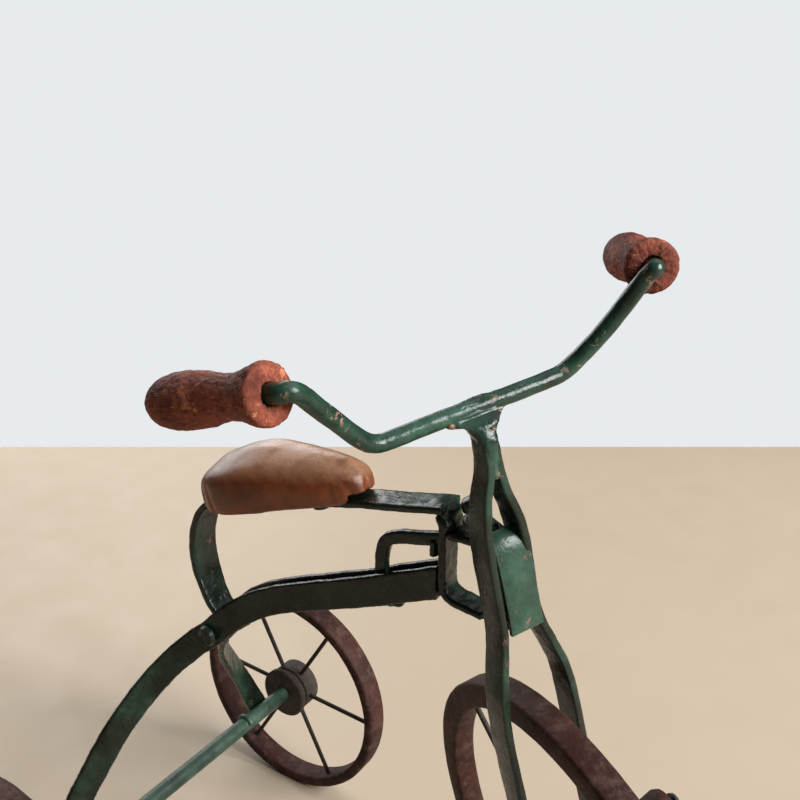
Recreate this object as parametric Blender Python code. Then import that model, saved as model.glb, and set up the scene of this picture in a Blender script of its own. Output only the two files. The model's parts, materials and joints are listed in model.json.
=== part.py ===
"""Small metal tricycle: flat-bar frame, two rear wheels, leather saddle, steered and pedalled front wheel."""
import math

import bmesh
import bpy
from mathutils import Matrix, Vector

MM = 0.001

# Driving dimensions, in millimetres. X is forward, Y is to the rider's left, Z is up.
REAR_WHEEL_R = 45.0
REAR_RIM_DEPTH = 4.2
REAR_RIM_W = 9.5
REAR_RIM_Y_IN = 61.5
FRONT_WHEEL_R = 68.2
FRONT_RIM_DEPTH = 7.8
FRONT_RIM_W = 8.0
FRONT_WHEEL_X = 151.5
STEER_RAKE = math.radians(20.66)
STEER_REST_TURN = math.radians(32.1)
STEER_TRAIL = 13.7
SPOKE_D = 1.75
SPOKE_COUNT = 6
AXLE_D = 6.1
BAR_W = 9.0
BAR_T = 2.2
FORK_BAR_W = 8.6
FORK_BAR_T = 2.2
ROD_D = 4.3
DRAWN_ROD_D = 4.3
PIN_D = 2.6
GRIP_D = 12.7
GRIP_L = 37.5
CRANK_R = 20.5
CRANK_UP = math.radians(90.0)
GAP = 0.3
RUN_GAP = 0.25

REAR_AXLE_Z = REAR_WHEEL_R
HUB_HALF = 6.0
REAR_HUB_R = 10.6
REAR_Y_MID = REAR_RIM_Y_IN + REAR_RIM_W / 2
STEER_LEAN = math.asin(math.sin(STEER_RAKE) * math.sin(STEER_REST_TURN))
FRONT_AXLE_Z = (FRONT_WHEEL_R * math.cos(STEER_LEAN) + FRONT_RIM_W / 2 * math.sin(STEER_LEAN)
                - STEER_TRAIL * math.sin(STEER_RAKE) * math.cos(STEER_RAKE) * (1 - math.cos(STEER_REST_TURN)))
STEER_AXIS = Vector((-math.sin(STEER_RAKE), 0, math.cos(STEER_RAKE)))
STEER_PIVOT = Vector((FRONT_WHEEL_X + STEER_TRAIL, 0, FRONT_AXLE_Z))
TURN = Matrix.Rotation(-STEER_REST_TURN, 3, STEER_AXIS)

for old in list(bpy.data.objects):
    bpy.data.objects.remove(old, do_unlink=True)

MATERIALS = {}


def material(name, colour, metallic, roughness):
    m = bpy.data.materials.new(name)
    m.use_nodes = True
    shader = m.node_tree.nodes["Principled BSDF"]
    shader.inputs["Base Color"].default_value = (*colour, 1)
    shader.inputs["Metallic"].default_value = metallic
    shader.inputs["Roughness"].default_value = roughness
    MATERIALS[name] = m
    return m


GREEN = material("green_paint", (0.07, 0.13, 0.10), 0.0, 0.35)
MAROON = material("maroon_paint", (0.16, 0.05, 0.04), 0.0, 0.55)
HUB_PAINT = material("hub_paint", (0.10, 0.08, 0.08), 0.0, 0.5)
WIRE = material("spoke_wire", (0.07, 0.05, 0.04), 0.6, 0.5)
GRIP_WOOD = material("painted_wood", (0.45, 0.17, 0.11), 0.0, 0.6)
LEATHER = material("saddle_leather", (0.33, 0.15, 0.08), 0.0, 0.5)
STEEL = material("dark_steel", (0.06, 0.06, 0.055), 0.7, 0.45)


def straight(p):
    """A point given from the rear axle's ground line, in the frame's own axes."""
    return Vector(p)


def steered(p):
    """A point given from the front wheel's centre, wheel straight ahead, moved to the resting turn."""
    return STEER_PIVOT + TURN @ (Vector(p) - Vector((STEER_TRAIL, 0, 0)))


def add(name, verts, faces, mat, place, origin, smooth=True):
    """One closed object from mm points. place maps them to the world and origin is a world point."""
    mesh = bpy.data.meshes.new(name)
    mesh.from_pydata([(place(v) - origin) * MM for v in verts], [], faces)
    bm = bmesh.new()
    bm.from_mesh(mesh)
    bmesh.ops.remove_doubles(bm, verts=bm.verts, dist=1e-7)
    bmesh.ops.recalc_face_normals(bm, faces=bm.faces)
    bm.to_mesh(mesh)
    bm.free()
    mesh.materials.append(mat)
    obj = bpy.data.objects.new(name, mesh)
    obj.location = origin * MM
    bpy.context.collection.objects.link(obj)
    if smooth:
        mesh.shade_smooth()
        mesh.set_sharp_from_angle(angle=math.radians(35))
    return obj


def basis(axis):
    """Two unit vectors square to an axis."""
    axis = Vector(axis).normalized()
    side = Vector((1, 0, 0)) if abs(axis.x) < 0.9 else Vector((0, 0, 1))
    u = (side - axis * side.dot(axis)).normalized()
    return axis, u, axis.cross(u)


def lathe(name, centre, axis, profile, mat, place, origin, seg=40, bore=0.0, phase=0.0):
    """A turned body: profile is (distance along axis, radius). A bore leaves a through hole."""
    axis, u, v = basis(axis)
    centre = Vector(centre)
    verts = []
    faces = []
    rings = [list(profile)]
    if bore > 0:
        rings[0] = list(profile) + [(profile[-1][0], bore), (profile[0][0], bore)]
    points = rings[0]
    for h, r in points:
        for k in range(seg):
            a = 2 * math.pi * (k + phase) / seg
            verts.append(centre + axis * h + (u * math.cos(a) + v * math.sin(a)) * r)
    n = len(points)
    last = n if bore > 0 else n - 1
    for i in range(last):
        j = (i + 1) % n
        for k in range(seg):
            m = (k + 1) % seg
            faces.append((i * seg + k, i * seg + m, j * seg + m, j * seg + k))
    if bore <= 0:
        faces.append(tuple(range(seg))[::-1])
        faces.append(tuple(range((n - 1) * seg, n * seg)))
    return add(name, verts, faces, mat, place, origin)


def catmull(points, steps):
    """A smooth run of points through the given ones."""
    pts = [Vector(p) for p in points]
    pts = [pts[0] * 2 - pts[1]] + pts + [pts[-1] * 2 - pts[-2]]
    out = []
    for i in range(1, len(pts) - 2):
        p0, p1, p2, p3 = pts[i - 1:i + 3]
        for k in range(steps):
            t = k / steps
            out.append(0.5 * ((2 * p1) + (p2 - p0) * t + (2 * p0 - 5 * p1 + 4 * p2 - p3) * t * t
                              + (3 * p1 - p0 - 3 * p2 + p3) * t * t * t))
    out.append(pts[-2])
    return out


def sweep(name, path, thin, section, mat, place, origin, smooth=True, widths=None):
    """A section swept along a path. thin gives the direction of the section's second axis at each point."""
    verts = []
    faces = []
    count = len(section)
    for i, p in enumerate(path):
        a = path[max(i - 1, 0)]
        b = path[min(i + 1, len(path) - 1)]
        d = (b - a).normalized()
        n = thin[i] - d * thin[i].dot(d)
        n.normalize()
        w = n.cross(d)
        scale = widths[i] if widths else 1.0
        for su, sv in section:
            verts.append(p + w * su * scale + n * sv)
    for i in range(len(path) - 1):
        for k in range(count):
            m = (k + 1) % count
            faces.append((i * count + k, i * count + m, (i + 1) * count + m, (i + 1) * count + k))
    faces.append(tuple(range(count))[::-1])
    faces.append(tuple(range((len(path) - 1) * count, len(path) * count)))
    return add(name, verts, faces, mat, place, origin, smooth)


def flat(width, thick, ease=0.35):
    """A flat bar's section with eased corners."""
    w = width / 2
    t = thick / 2
    e = min(ease, t * 0.6)
    return [(-w, -t + e), (-w + e, -t), (w - e, -t), (w, -t + e), (w, t - e), (w - e, t), (-w + e, t),
            (-w, t - e)]


def round_section(diameter, seg=14):
    return [(diameter / 2 * math.cos(2 * math.pi * k / seg), diameter / 2 * math.sin(2 * math.pi * k / seg))
            for k in range(seg)]


def cutter(name, centre, axis, radius, half, place, seg=24):
    obj = lathe(name, centre, axis, [(-half, radius), (half, radius)], STEEL, place, Vector((0, 0, 0)),
                seg=seg)
    obj.hide_render = True
    obj.display_type = 'WIRE'
    return obj


def cut(obj, tool):
    """Cut a tool out of an object and drop the tool."""
    mod = obj.modifiers.new("cut_" + tool.name, 'BOOLEAN')
    mod.operation = 'DIFFERENCE'
    mod.solver = 'EXACT'
    mod.object = tool
    tool.hide_render = True
    tool.display_type = 'WIRE'


def block(name, low, high, place, tilt=None, about=None):
    """A box cutter, tilted about a line along Y when asked."""
    pts = [Vector((x, y, z)) for x in (low[0], high[0]) for y in (low[1], high[1]) for z in (low[2], high[2])]
    if tilt is not None:
        turn = Matrix.Rotation(tilt, 3, 'Y')
        pts = [Vector(about) + turn @ p for p in pts]
    faces = [(0, 1, 3, 2), (4, 6, 7, 5), (0, 4, 5, 1), (2, 3, 7, 6), (0, 2, 6, 4), (1, 5, 7, 3)]
    obj = add(name, pts, faces, STEEL, place, Vector((0, 0, 0)), False)
    obj.hide_render = True
    obj.display_type = 'WIRE'
    return obj


ORIGIN = Vector((0, 0, REAR_AXLE_Z))
Y = Vector((0, 1, 0))

# The frame's bends are drawn for these two heights. Other wheels lift the head or stretch the legs.
DRAWN_PIVOT_Z = 67.05
DRAWN_LEG_DROP = 77.0
RIVET_X = 31.5
RIVET_Z = 122.0
LIFT_END_X = 93.0
HEAD_LIFT = STEER_PIVOT.z - DRAWN_PIVOT_Z


def lifted(x, z):
    """A height on the frame, raised with the head by its share of the way from the rivet."""
    return z + HEAD_LIFT * min(1.0, max(0.0, (x - RIVET_X) / (LIFT_END_X - RIVET_X)))


def leg_height(z):
    """A height on a leg, stretched so that the leg still meets the axle."""
    return RIVET_Z - (RIVET_Z - z) * (RIVET_Z - REAR_AXLE_Z) / DRAWN_LEG_DROP


def bent_frame(points):
    """Frame points with their heights fitted to the wheels."""
    return [(x, y, lifted(x, z) if z > RIVET_Z else leg_height(z)) for x, y, z in points]


# Wheels: a rectangular rim, a turned hub and plain wire spokes.
def rim(name, centre, r_out, depth, width, place, origin, seg=72):
    e = 0.6
    r_in = r_out - depth
    w = width / 2
    axis = Y
    profile = [(-w, r_in + e), (-w, r_out - e), (-w + e, r_out), (w - e, r_out), (w, r_out - e),
               (w, r_in + e),
               (w - e, r_in), (-w + e, r_in)]
    axis, u, v = basis(axis)
    verts = []
    faces = []
    for h, r in profile:
        for k in range(seg):
            a = 2 * math.pi * (k + 0.5) / seg
            corner = r / math.cos(math.pi / seg)
            verts.append(Vector(centre) + axis * h + (u * math.cos(a) + v * math.sin(a)) * corner)
    n = len(profile)
    for i in range(n):
        j = (i + 1) % n
        for k in range(seg):
            m = (k + 1) % seg
            faces.append((i * seg + k, i * seg + m, j * seg + m, j * seg + k))
    return add(name, verts, faces, MAROON, place, origin)


def spokes(prefix, centre, r_hub, r_rim, phase, place, origin):
    for i in range(SPOKE_COUNT):
        a = phase + 2 * math.pi * i / SPOKE_COUNT
        direction = Vector((math.cos(a), 0, math.sin(a)))
        start = Vector(centre) + direction * (r_hub + GAP)
        lathe(f"{prefix}_{i + 1}", start, direction, [(0, SPOKE_D / 2), (r_rim - r_hub - 2 * GAP,
                                                                         SPOKE_D / 2)],
              WIRE, place, origin, seg=12)


def hub_profile(radius, half, inner_first):
    """A long turned hub with a flange, a groove and a barrel, listed along the axle."""
    steps = [(-half, radius - 0.6), (-half + 0.5, radius), (-half + 2.2, radius), (-half + 2.6, radius - 1.6),
             (-half + 3.8, radius - 1.6), (-half + 4.3, radius - 0.7), (half - 0.6, radius - 0.7),
             (half, radius - 1.4)]
    if inner_first:
        return steps
    return [(-h, r) for h, r in reversed(steps)]


AXLE_R = AXLE_D / 2
for side, sign in (("left", 1), ("right", -1)):
    centre = Vector((0, sign * REAR_Y_MID, REAR_AXLE_Z))
    rim(f"rear_rim_{side}", centre, REAR_WHEEL_R, REAR_RIM_DEPTH, REAR_RIM_W, straight, centre)
    lathe(f"rear_hub_{side}", centre, Y, hub_profile(REAR_HUB_R, HUB_HALF, sign > 0), HUB_PAINT, straight,
          centre,
          seg=32, bore=AXLE_R + RUN_GAP)
    spokes(f"rear_spoke_{side}", centre, REAR_HUB_R - 0.7, REAR_WHEEL_R - REAR_RIM_DEPTH, math.radians(-3),
           straight, centre)
    outer = REAR_Y_MID + HUB_HALF + GAP
    cap = [(outer, 5.0), (outer + 0.9, 5.0), (outer + 1.4, 4.2), (outer + 3.4, 3.9), (outer + 4.4, 2.6)]
    if sign < 0:
        cap = [(-h, r) for h, r in reversed(cap)]
    lathe(f"axle_cap_{side}", (0, 0, REAR_AXLE_Z), Y, cap, STEEL, straight, ORIGIN, seg=28)

AXLE_END = REAR_Y_MID + HUB_HALF
lathe("rear_axle", (0, 0, REAR_AXLE_Z), Y, [(-AXLE_END, AXLE_R), (AXLE_END, AXLE_R)], GREEN, straight,
      ORIGIN, seg=28)

# Frame: two mirrored flat bars run back from the head, open around the rivet and fall as legs to the axle.
LEG_X = -(AXLE_R + GAP + BAR_T / 2)
HEAD_WEB_X = 113.0
HEAD_T = 2.2
BAR_FRONT_X = HEAD_WEB_X - HEAD_T / 2 - GAP
BAR_Y = 1.3 + GAP + BAR_T / 2
RIVET_Y = BAR_Y + 4.2
BAR_PATH = [
    (BAR_FRONT_X + 3.0, BAR_Y, 163.6), (106.0, BAR_Y, 160.1), (100.0, BAR_Y, 157.6), (90.0, BAR_Y, 153.2),
    (80.5, BAR_Y, 149.4), (66.0, BAR_Y, 143.8),
    (56.0, BAR_Y + 0.1, 139.7), (48.0, BAR_Y + 0.6, 135.6), (41.0, BAR_Y + 2.0, 130.9),
    (35.5, BAR_Y + 3.5, 126.1),
    (31.5, RIVET_Y, 122.0), (25.6, RIVET_Y + 1.2, 117.2), (19.8, 10.6, 111.4), (14.2, 13.4, 105.0),
    (9.6, 17.3, 98.0),
    (5.3, 22.4, 90.0), (2.3, 27.8, 82.0), (0.2, 32.9, 74.0), (-1.9, 37.8, 66.0), (-3.4, 42.2, 58.0),
    (LEG_X, 45.8, 51.0), (LEG_X, 48.3, 46.0), (LEG_X, 49.8, 42.0)]
BAR_THIN = ([(0, 1, 0)] * 8 + [(0.08, 1, 0), (0.16, 0.98, 0), (0.24, 0.96, 0), (0.36, 0.92, 0.02),
                               (0.5, 0.84, 0.05)]
            + [(0.62, 0.76, 0.06), (0.74, 0.67, 0.06), (0.80, 0.58, 0.06), (0.83, 0.55, 0.06),
               (0.86, 0.5, 0.05)]
            + [(0.9, 0.42, 0.04), (0.95, 0.25, 0.03), (1, 0.08, 0), (1, 0, 0), (1, 0, 0)])


def mirrored(points, sign):
    return [(x, sign * y, z) for x, y, z in points]


for side, sign in (("left", 1), ("right", -1)):
    path = catmull(mirrored(bent_frame(BAR_PATH), sign), 2)
    thin = catmull(mirrored(BAR_THIN, sign), 2)
    bar = sweep(f"side_bar_{side}", path, thin, flat(BAR_W, BAR_T), GREEN, straight, ORIGIN)
    cut(bar, block(f"cut_front_{side}", (BAR_FRONT_X, -9, 150 + HEAD_LIFT),
                   (BAR_FRONT_X + 12, 9, 180 + HEAD_LIFT), straight))
    cut(bar, cutter(f"cut_rivet_{side}", (RIVET_X, sign * RIVET_Y, RIVET_Z), Y, 1.5 + GAP, 5.0, straight))

RIVET_END = RIVET_Y + BAR_T / 2 + 1.1
lathe("frame_rivet", (RIVET_X, 0, RIVET_Z), Y,
      [(-RIVET_END - 1.5, 1.4), (-RIVET_END - 1.1, 2.9), (-RIVET_END, 3.4), (-RIVET_END, 1.5),
       (RIVET_END, 1.5),
       (RIVET_END, 3.4), (RIVET_END + 1.1, 2.9), (RIVET_END + 1.5, 1.4)], GREEN, straight, ORIGIN, seg=28)

# Head bracket: one strap bent to a C, its arms reaching forward to the steering pin.
SEAT_STRIP_T = 2.2
SEAT_STRIP_W = 10.6
HEAD_TOP_Z = 181.8 + HEAD_LIFT
HEAD_STRAP_W = 7.6
AXIS_SLOPE = math.tan(STEER_RAKE)


def axis_x(z):
    """Where the steering axis passes, in the frame's own axes."""
    return STEER_PIVOT.x - (z - STEER_PIVOT.z) * AXIS_SLOPE


LOW_ARM_Z = 155.9 + HEAD_LIFT
TOP_ARM_Z = 176.9 + HEAD_LIFT
LOW_ARM_X = axis_x(LOW_ARM_Z)
TOP_ARM_X = axis_x(TOP_ARM_Z)
WEB = [(HEAD_WEB_X, 0, HEAD_TOP_Z), (HEAD_WEB_X, 0, HEAD_TOP_Z - 6.8), (HEAD_WEB_X, 0, LOW_ARM_Z + 12.1),
       (HEAD_WEB_X, 0, LOW_ARM_Z + 9.1), (HEAD_WEB_X, 0, LOW_ARM_Z + 5.7),
       (HEAD_WEB_X + 0.8, 0, LOW_ARM_Z + 4.0),
       (HEAD_WEB_X + 2.8, 0, LOW_ARM_Z + 2.5), (HEAD_WEB_X + 6, 0, LOW_ARM_Z + 1.8),
       (LOW_ARM_X - 4, 0, LOW_ARM_Z + 0.6), (LOW_ARM_X, 0, LOW_ARM_Z), (LOW_ARM_X + 2.8, 0, LOW_ARM_Z - 0.4)]
web_path = catmull(WEB, 3)
web_thin = []
for i, p in enumerate(web_path):
    d = (web_path[min(i + 1, len(web_path) - 1)] - web_path[max(i - 1, 0)]).normalized()
    web_thin.append(d.cross(Y))
head = sweep("head_bracket", web_path, web_thin, flat(HEAD_STRAP_W, HEAD_T), GREEN, straight, ORIGIN)
ARM_HALF = 2.4
taper_low = block("cut_taper_low", (LOW_ARM_X - 7, ARM_HALF, LOW_ARM_Z - 6),
                  (LOW_ARM_X + 8, 6, LOW_ARM_Z + 6), straight)
taper_high = block("cut_taper_high", (LOW_ARM_X - 7, -6, LOW_ARM_Z - 6),
                   (LOW_ARM_X + 8, -ARM_HALF, LOW_ARM_Z + 6), straight)
cut(head, taper_low)
cut(head, taper_high)
cut(head, cutter("cut_low_arm", (LOW_ARM_X, 0, LOW_ARM_Z), STEER_AXIS, PIN_D / 2 + RUN_GAP, 8, straight))
top_arm_path = [Vector((HEAD_WEB_X + HEAD_T / 2 + GAP, 0, TOP_ARM_Z - 0.4)),
                Vector((TOP_ARM_X, 0, TOP_ARM_Z)),
                Vector((TOP_ARM_X + 4.0, 0, TOP_ARM_Z + 0.2))]
top_arm = sweep("head_top_arm", top_arm_path, [Vector((0, 0, 1))] * 3, flat(6.6, HEAD_T), GREEN, straight,
                ORIGIN)
cut(top_arm, cutter("cut_top_arm", (TOP_ARM_X, 0, TOP_ARM_Z), STEER_AXIS, PIN_D / 2 + RUN_GAP, 6, straight))

# Strut: a square bar from the head back and down between the side bars.
STRUT = [(HEAD_WEB_X, 0, 174.2), (106.0, 0, 172.6), (98.6, 0, 171.0), (94.6, 0, 169.2),
         (92.9, 0, 166.0), (92.4, 0, 161.5), (92.2, 0, 149.2)]
strut_path = catmull(bent_frame(STRUT), 3)
strut = sweep("head_strut", strut_path, [Y] * len(strut_path), flat(3.8, 2.6), GREEN, straight, ORIGIN)
cut(strut, block("cut_strut_front", (BAR_FRONT_X, -9, LOW_ARM_Z + 4), (BAR_FRONT_X + 12, 9, HEAD_TOP_Z + 3),
                 straight))

# Seat strip: a flat strip from the head, under the saddle, curled back down to an eye on the rivet.
EYE_R = 3.7
EYE_W = 9.2
STRIP = [(HEAD_WEB_X + 0.8, 0, 183.9), (HEAD_WEB_X - 4, 0, 183.1), (101, 0, 181.6), (93, 0, 180.3),
         (86, 0, 179.0),
         (79, 0, 177.5), (68, 0, 175.0), (56, 0, 172.3), (45, 0, 169.9), (37, 0, 168.0), (31.0, 0, 165.4),
         (26.6, 0, 161.0), (24.0, 0, 155.0), (22.9, 0, 148.5), (23.6, 0, 141.0), (25.8, 0, 134.6),
         (28.2, 0, 129.6),
         (RIVET_X - 0.6, 0, RIVET_Z + 4.6)]
strip_path = catmull(bent_frame(STRIP), 3)
strip_thin = []
for i, p in enumerate(strip_path):
    d = (strip_path[min(i + 1, len(strip_path) - 1)] - strip_path[max(i - 1, 0)]).normalized()
    strip_thin.append(d.cross(Y))
eye_share = EYE_W / SEAT_STRIP_W
strip_widths = [eye_share + (1 - eye_share) * min(1.0, max(0.0,
                                                           (p.z - RIVET_Z - 6) / 14)) for p in strip_path]
strip = sweep("seat_strip", strip_path, strip_thin, flat(SEAT_STRIP_W, SEAT_STRIP_T), GREEN, straight, ORIGIN,
              widths=strip_widths)
lathe("strip_eye", (RIVET_X, 0, RIVET_Z), Y, [(-EYE_W / 2, EYE_R - 0.3), (-EYE_W / 2 + 0.3, EYE_R),
      (EYE_W / 2 - 0.3, EYE_R), (EYE_W / 2, EYE_R - 0.3)], GREEN, straight, ORIGIN, seg=32, bore=1.5 + GAP)

# Saddle: a pan on the strip and a stuffed leather cover whose skirt hangs on both sides of the strip.
SADDLE_MID = Vector((56.0, 0, lifted(56.0, 172.4)))
SADDLE_TILT = -math.atan2(lifted(86, 179.0) - lifted(37, 168.0), 86 - 37)
SADDLE_TURN = Matrix.Rotation(SADDLE_TILT, 3, 'Y')
PAN_T = 1.4
PAN_LOW = SEAT_STRIP_T / 2 + GAP
SADDLE_TOP = 10.4
OUTLINE = [(-25.0, 0.0), (-24.3, 5.0), (-21.8, 9.6), (-17.4, 13.0), (-11.0, 14.8), (-4.5, 14.6), (1.0, 13.2),
           (7.0, 11.2), (14.0, 9.6), (21.0, 8.4), (27.0, 7.4), (31.5, 5.6), (34.0, 2.8), (34.8, 0.0)]
RINGS = [(0.0, 1.0), (0.08, 0.3), (0.22, 0.0), (0.52, 0.0), (0.70, 0.7), (0.84, 2.0), (0.93, 4.0),
         (0.98, 6.4),
         (1.0, 8.6)]
SADDLE_LOW_REAR = -1.8
SADDLE_LOW_NOSE = -0.2
SADDLE_HIGH_NOSE = 10.2
SADDLE_HIGH_REAR = 12.4
SADDLE_CROWN = 3.0


def saddle_heights(u):
    """The leather's lowest and highest level at a place along the saddle."""
    share = min(1.0, max(0.0, (u + 20) / 50))
    share = share * share * (3 - 2 * share)
    low = SADDLE_LOW_REAR + (SADDLE_LOW_NOSE - SADDLE_LOW_REAR) * share
    high = SADDLE_HIGH_REAR + (SADDLE_HIGH_NOSE - SADDLE_HIGH_REAR) * share
    return low, high + SADDLE_CROWN * math.exp(-((u - 2) / 15) ** 2)


def saddle_place(p):
    return SADDLE_MID + SADDLE_TURN @ Vector(p)


half_line = catmull([(u, v, 0) for u, v in OUTLINE], 2)
loop = [Vector((p.x, max(p.y, 0), 0)) for p in half_line]
loop = loop + [Vector((p.x, -p.y, 0)) for p in reversed(loop[1:-1])]
saddle_verts = []
for t, inset in RINGS:
    for p in loop:
        spine = Vector((min(max(p.x, -15.0), 29.0), 0, 0))
        reach = (spine - p).length
        bottom, top = saddle_heights(p.x)
        inward = (spine - p) * (min(inset, reach * 0.75) / reach)
        saddle_verts.append(p + inward + Vector((0, 0, bottom + t * (top - bottom))))
count = len(loop)
saddle_faces = []
for i in range(len(RINGS) - 1):
    for k in range(count):
        m = (k + 1) % count
        saddle_faces.append((i * count + k, i * count + m, (i + 1) * count + m, (i + 1) * count + k))
saddle_faces.append(tuple(range(count))[::-1])
saddle_faces.append(tuple(range((len(RINGS) - 1) * count, len(RINGS) * count)))
leather = add("saddle_leather", saddle_verts, saddle_faces, LEATHER, saddle_place, SADDLE_MID)
channel = block("cut_channel", (-45, -SEAT_STRIP_W / 2 - GAP, -8), (45, SEAT_STRIP_W / 2 + GAP,
                                                                    PAN_LOW + PAN_T + GAP),
                saddle_place)
cut(leather, channel)
pan_verts = [(x, y, z) for z in (PAN_LOW, PAN_LOW + PAN_T) for x, y in
             ((-21, -4.4), (-20, -5.2), (24, -5.2), (25, -4.4), (25, 4.4), (24, 5.2), (-20, 5.2), (-21, 4.4))]
pan_faces = [tuple(range(8))[::-1], tuple(range(8, 16))] + [(k, (k + 1) % 8, (k + 1) % 8 + 8,
                                                             k + 8) for k in range(8)]
pan = add("saddle_pan", pan_verts, pan_faces, STEEL, saddle_place, SADDLE_MID, False)
for tag, u in (("rear", -12.0), ("front", 16.0)):
    low = -SEAT_STRIP_T / 2 - 0.7
    lathe(f"saddle_screw_{tag}", (u, 0, 0), (0, 0, 1),
          [(low - 1.5, 1.6), (low - 1.1, 2.6), (low, 2.8), (low, 1.0), (PAN_LOW + PAN_T, 1.0)],
          STEEL, saddle_place, SADDLE_MID, seg=20)
    for target in (strip, pan):
        cut(target, cutter(f"cut_screw_{tag}_{target.name}", (u, 0, 0), (0, 0, 1), 1.0 + GAP, 6,
                           saddle_place))

# Front wheel, turning with its axle and cranks.
O3 = (0, 0, 0)
front_origin = steered(O3)
rim("front_rim", O3, FRONT_WHEEL_R, FRONT_RIM_DEPTH, FRONT_RIM_W, steered, front_origin)
FRONT_AXLE_R = 2.6
FRONT_HUB_HALF = 7.4
FRONT_HUB_R = 9.6
lathe("front_hub", O3, Y, hub_profile(FRONT_HUB_R, FRONT_HUB_HALF, True), HUB_PAINT, steered, front_origin,
      seg=32,
      bore=FRONT_AXLE_R + GAP)
spokes("front_spoke", O3, FRONT_HUB_R - 0.7, FRONT_WHEEL_R - FRONT_RIM_DEPTH, math.radians(20), steered,
       front_origin)
FORK_Y_LOW = 9.8
AXLE_HALF = FORK_Y_LOW + FORK_BAR_T / 2 + 2.0
CRANK_T = 2.2
lathe("front_axle", O3, Y, [(-AXLE_HALF - CRANK_T - 1.6, 1.6), (-AXLE_HALF - CRANK_T - 1.2, FRONT_AXLE_R),
      (AXLE_HALF + CRANK_T + 1.2, FRONT_AXLE_R), (AXLE_HALF + CRANK_T + 1.6, 1.6)], STEEL, steered,
      front_origin, seg=28)
PEDAL_L = 17.0
PEDAL_R = 5.6
for side, sign in (("left", 1), ("right", -1)):
    up = sign
    arm = Vector((math.cos(CRANK_UP) * up, 0, math.sin(CRANK_UP) * up))
    y_mid = sign * (AXLE_HALF + CRANK_T / 2)
    ends = [arm * t + Vector((0, y_mid, 0)) for t in (-4.4, 0, CRANK_R * 0.5, CRANK_R, CRANK_R + 3.6)]
    crank = sweep(f"crank_{side}", ends, [Y] * len(ends), flat(7.2, CRANK_T), GREEN, steered, front_origin)
    cut(crank, cutter(f"cut_crank_{side}", (0, y_mid, 0), Y, FRONT_AXLE_R + GAP, 4, steered))
    pedal_at = arm * CRANK_R
    cut(crank, cutter(f"cut_crank_pin_{side}", pedal_at + Vector((0, y_mid, 0)), Y, 1.5 + GAP, 4, steered))
    y_in = AXLE_HALF + CRANK_T
    pin = [(y_in - CRANK_T - 0.8, 2.3), (y_in - CRANK_T - GAP, 2.6), (y_in - CRANK_T - GAP, 1.5),
           (y_in + PEDAL_L + 1.8, 1.5), (y_in + PEDAL_L + 1.8, 2.6), (y_in + PEDAL_L + 2.8, 2.2)]
    block_profile = [(y_in + 1.0, PEDAL_R - 1.6), (y_in + 1.6, PEDAL_R - 0.5), (y_in + 3.0, PEDAL_R),
                     (y_in + PEDAL_L * 0.35, PEDAL_R - 0.7), (y_in + PEDAL_L * 0.5, PEDAL_R - 0.9),
                     (y_in + PEDAL_L * 0.7, PEDAL_R - 0.4), (y_in + PEDAL_L - 2.2, PEDAL_R),
                     (y_in + PEDAL_L - 0.6, PEDAL_R - 0.6), (y_in + PEDAL_L, PEDAL_R - 1.8)]
    if sign < 0:
        pin = [(-h, r) for h, r in reversed(pin)]
        block_profile = [(-h, r) for h, r in reversed(block_profile)]
    spot = steered(pedal_at)
    lathe(f"pedal_pin_{side}", pedal_at, Y, pin, STEEL, steered, front_origin, seg=20)
    lathe(f"pedal_{side}", pedal_at, Y, block_profile, GRIP_WOOD, steered, spot, seg=28, bore=1.5 + RUN_GAP)

FORK_Y_CROWN = {"left": 4.6, "right": 5.9}
FORK_TOP_SHARE = 0.74

# Fork: two flat bars joined at the top, open around the crown and the wheel. The left one is bent closer.
FORK_PATH = [
    (-22.4, 1.45, 144.9), (-22.2, 1.5, 139.0), (-21.8, 2.2, 132.5), (-21.1, 3.8, 126.0), (-20.2, 5.4, 119.5),
    (-19.1, 5.9, 112.0), (-18.4, 5.9, 104.0), (-17.4, 5.9, 96.0), (-16.2, 6.6, 89.5), (-14.4, 8.7, 82.0),
    (-12.9, 10.4, 75.0), (-11.9, 11.0, 66.0), (-10.2, 10.9, 52.0), (-6.4, 10.5, 30.0), (-2.2, 10.0, 12.0),
    (0.0, FORK_Y_LOW, 0.0), (0.6, FORK_Y_LOW, -5.0)]
for side, sign in (("left", 1), ("right", -1)):
    drift = 5.9 - FORK_Y_CROWN[side]
    bent = []
    for x, y, z in FORK_PATH:
        share = min(1.0, max(0.0, (z - 30) / 45)) * min(1.0, max(0.0, (y - 1.5) / 2.4))
        bent.append((x - 0.6 * drift * share, sign * (y - drift * share), z))
    path = catmull(bent, 2)
    widths = [FORK_TOP_SHARE + (1 - FORK_TOP_SHARE) * min(1.0, max(0.0, (136 - p.z) / 18)) for p in path]
    bar = sweep(f"fork_bar_{side}", path, [Y * sign] * len(path), flat(FORK_BAR_W, FORK_BAR_T), GREEN,
                steered,
                STEER_PIVOT, widths=widths)
    cut(bar, cutter(f"cut_fork_{side}", (0, sign * FORK_Y_LOW, 0), Y, FRONT_AXLE_R + RUN_GAP, 4, steered))

# Crown: a sheet bent to a C between the fork bars. The pin passes its two flanges.
CROWN_HALF = (FORK_Y_CROWN["left"] + FORK_Y_CROWN["right"]) / 2 - FORK_BAR_T / 2 - 0.6
CROWN_Y = (FORK_Y_CROWN["left"] - FORK_Y_CROWN["right"]) / 2
CROWN_T = 2.0
CROWN_LOW_Z = 93.7
CROWN_TOP_Z = 114.6


def pin_x(z):
    """Where the steering axis passes, measured from the front wheel's centre."""
    return STEER_TRAIL - z * AXIS_SLOPE


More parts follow.
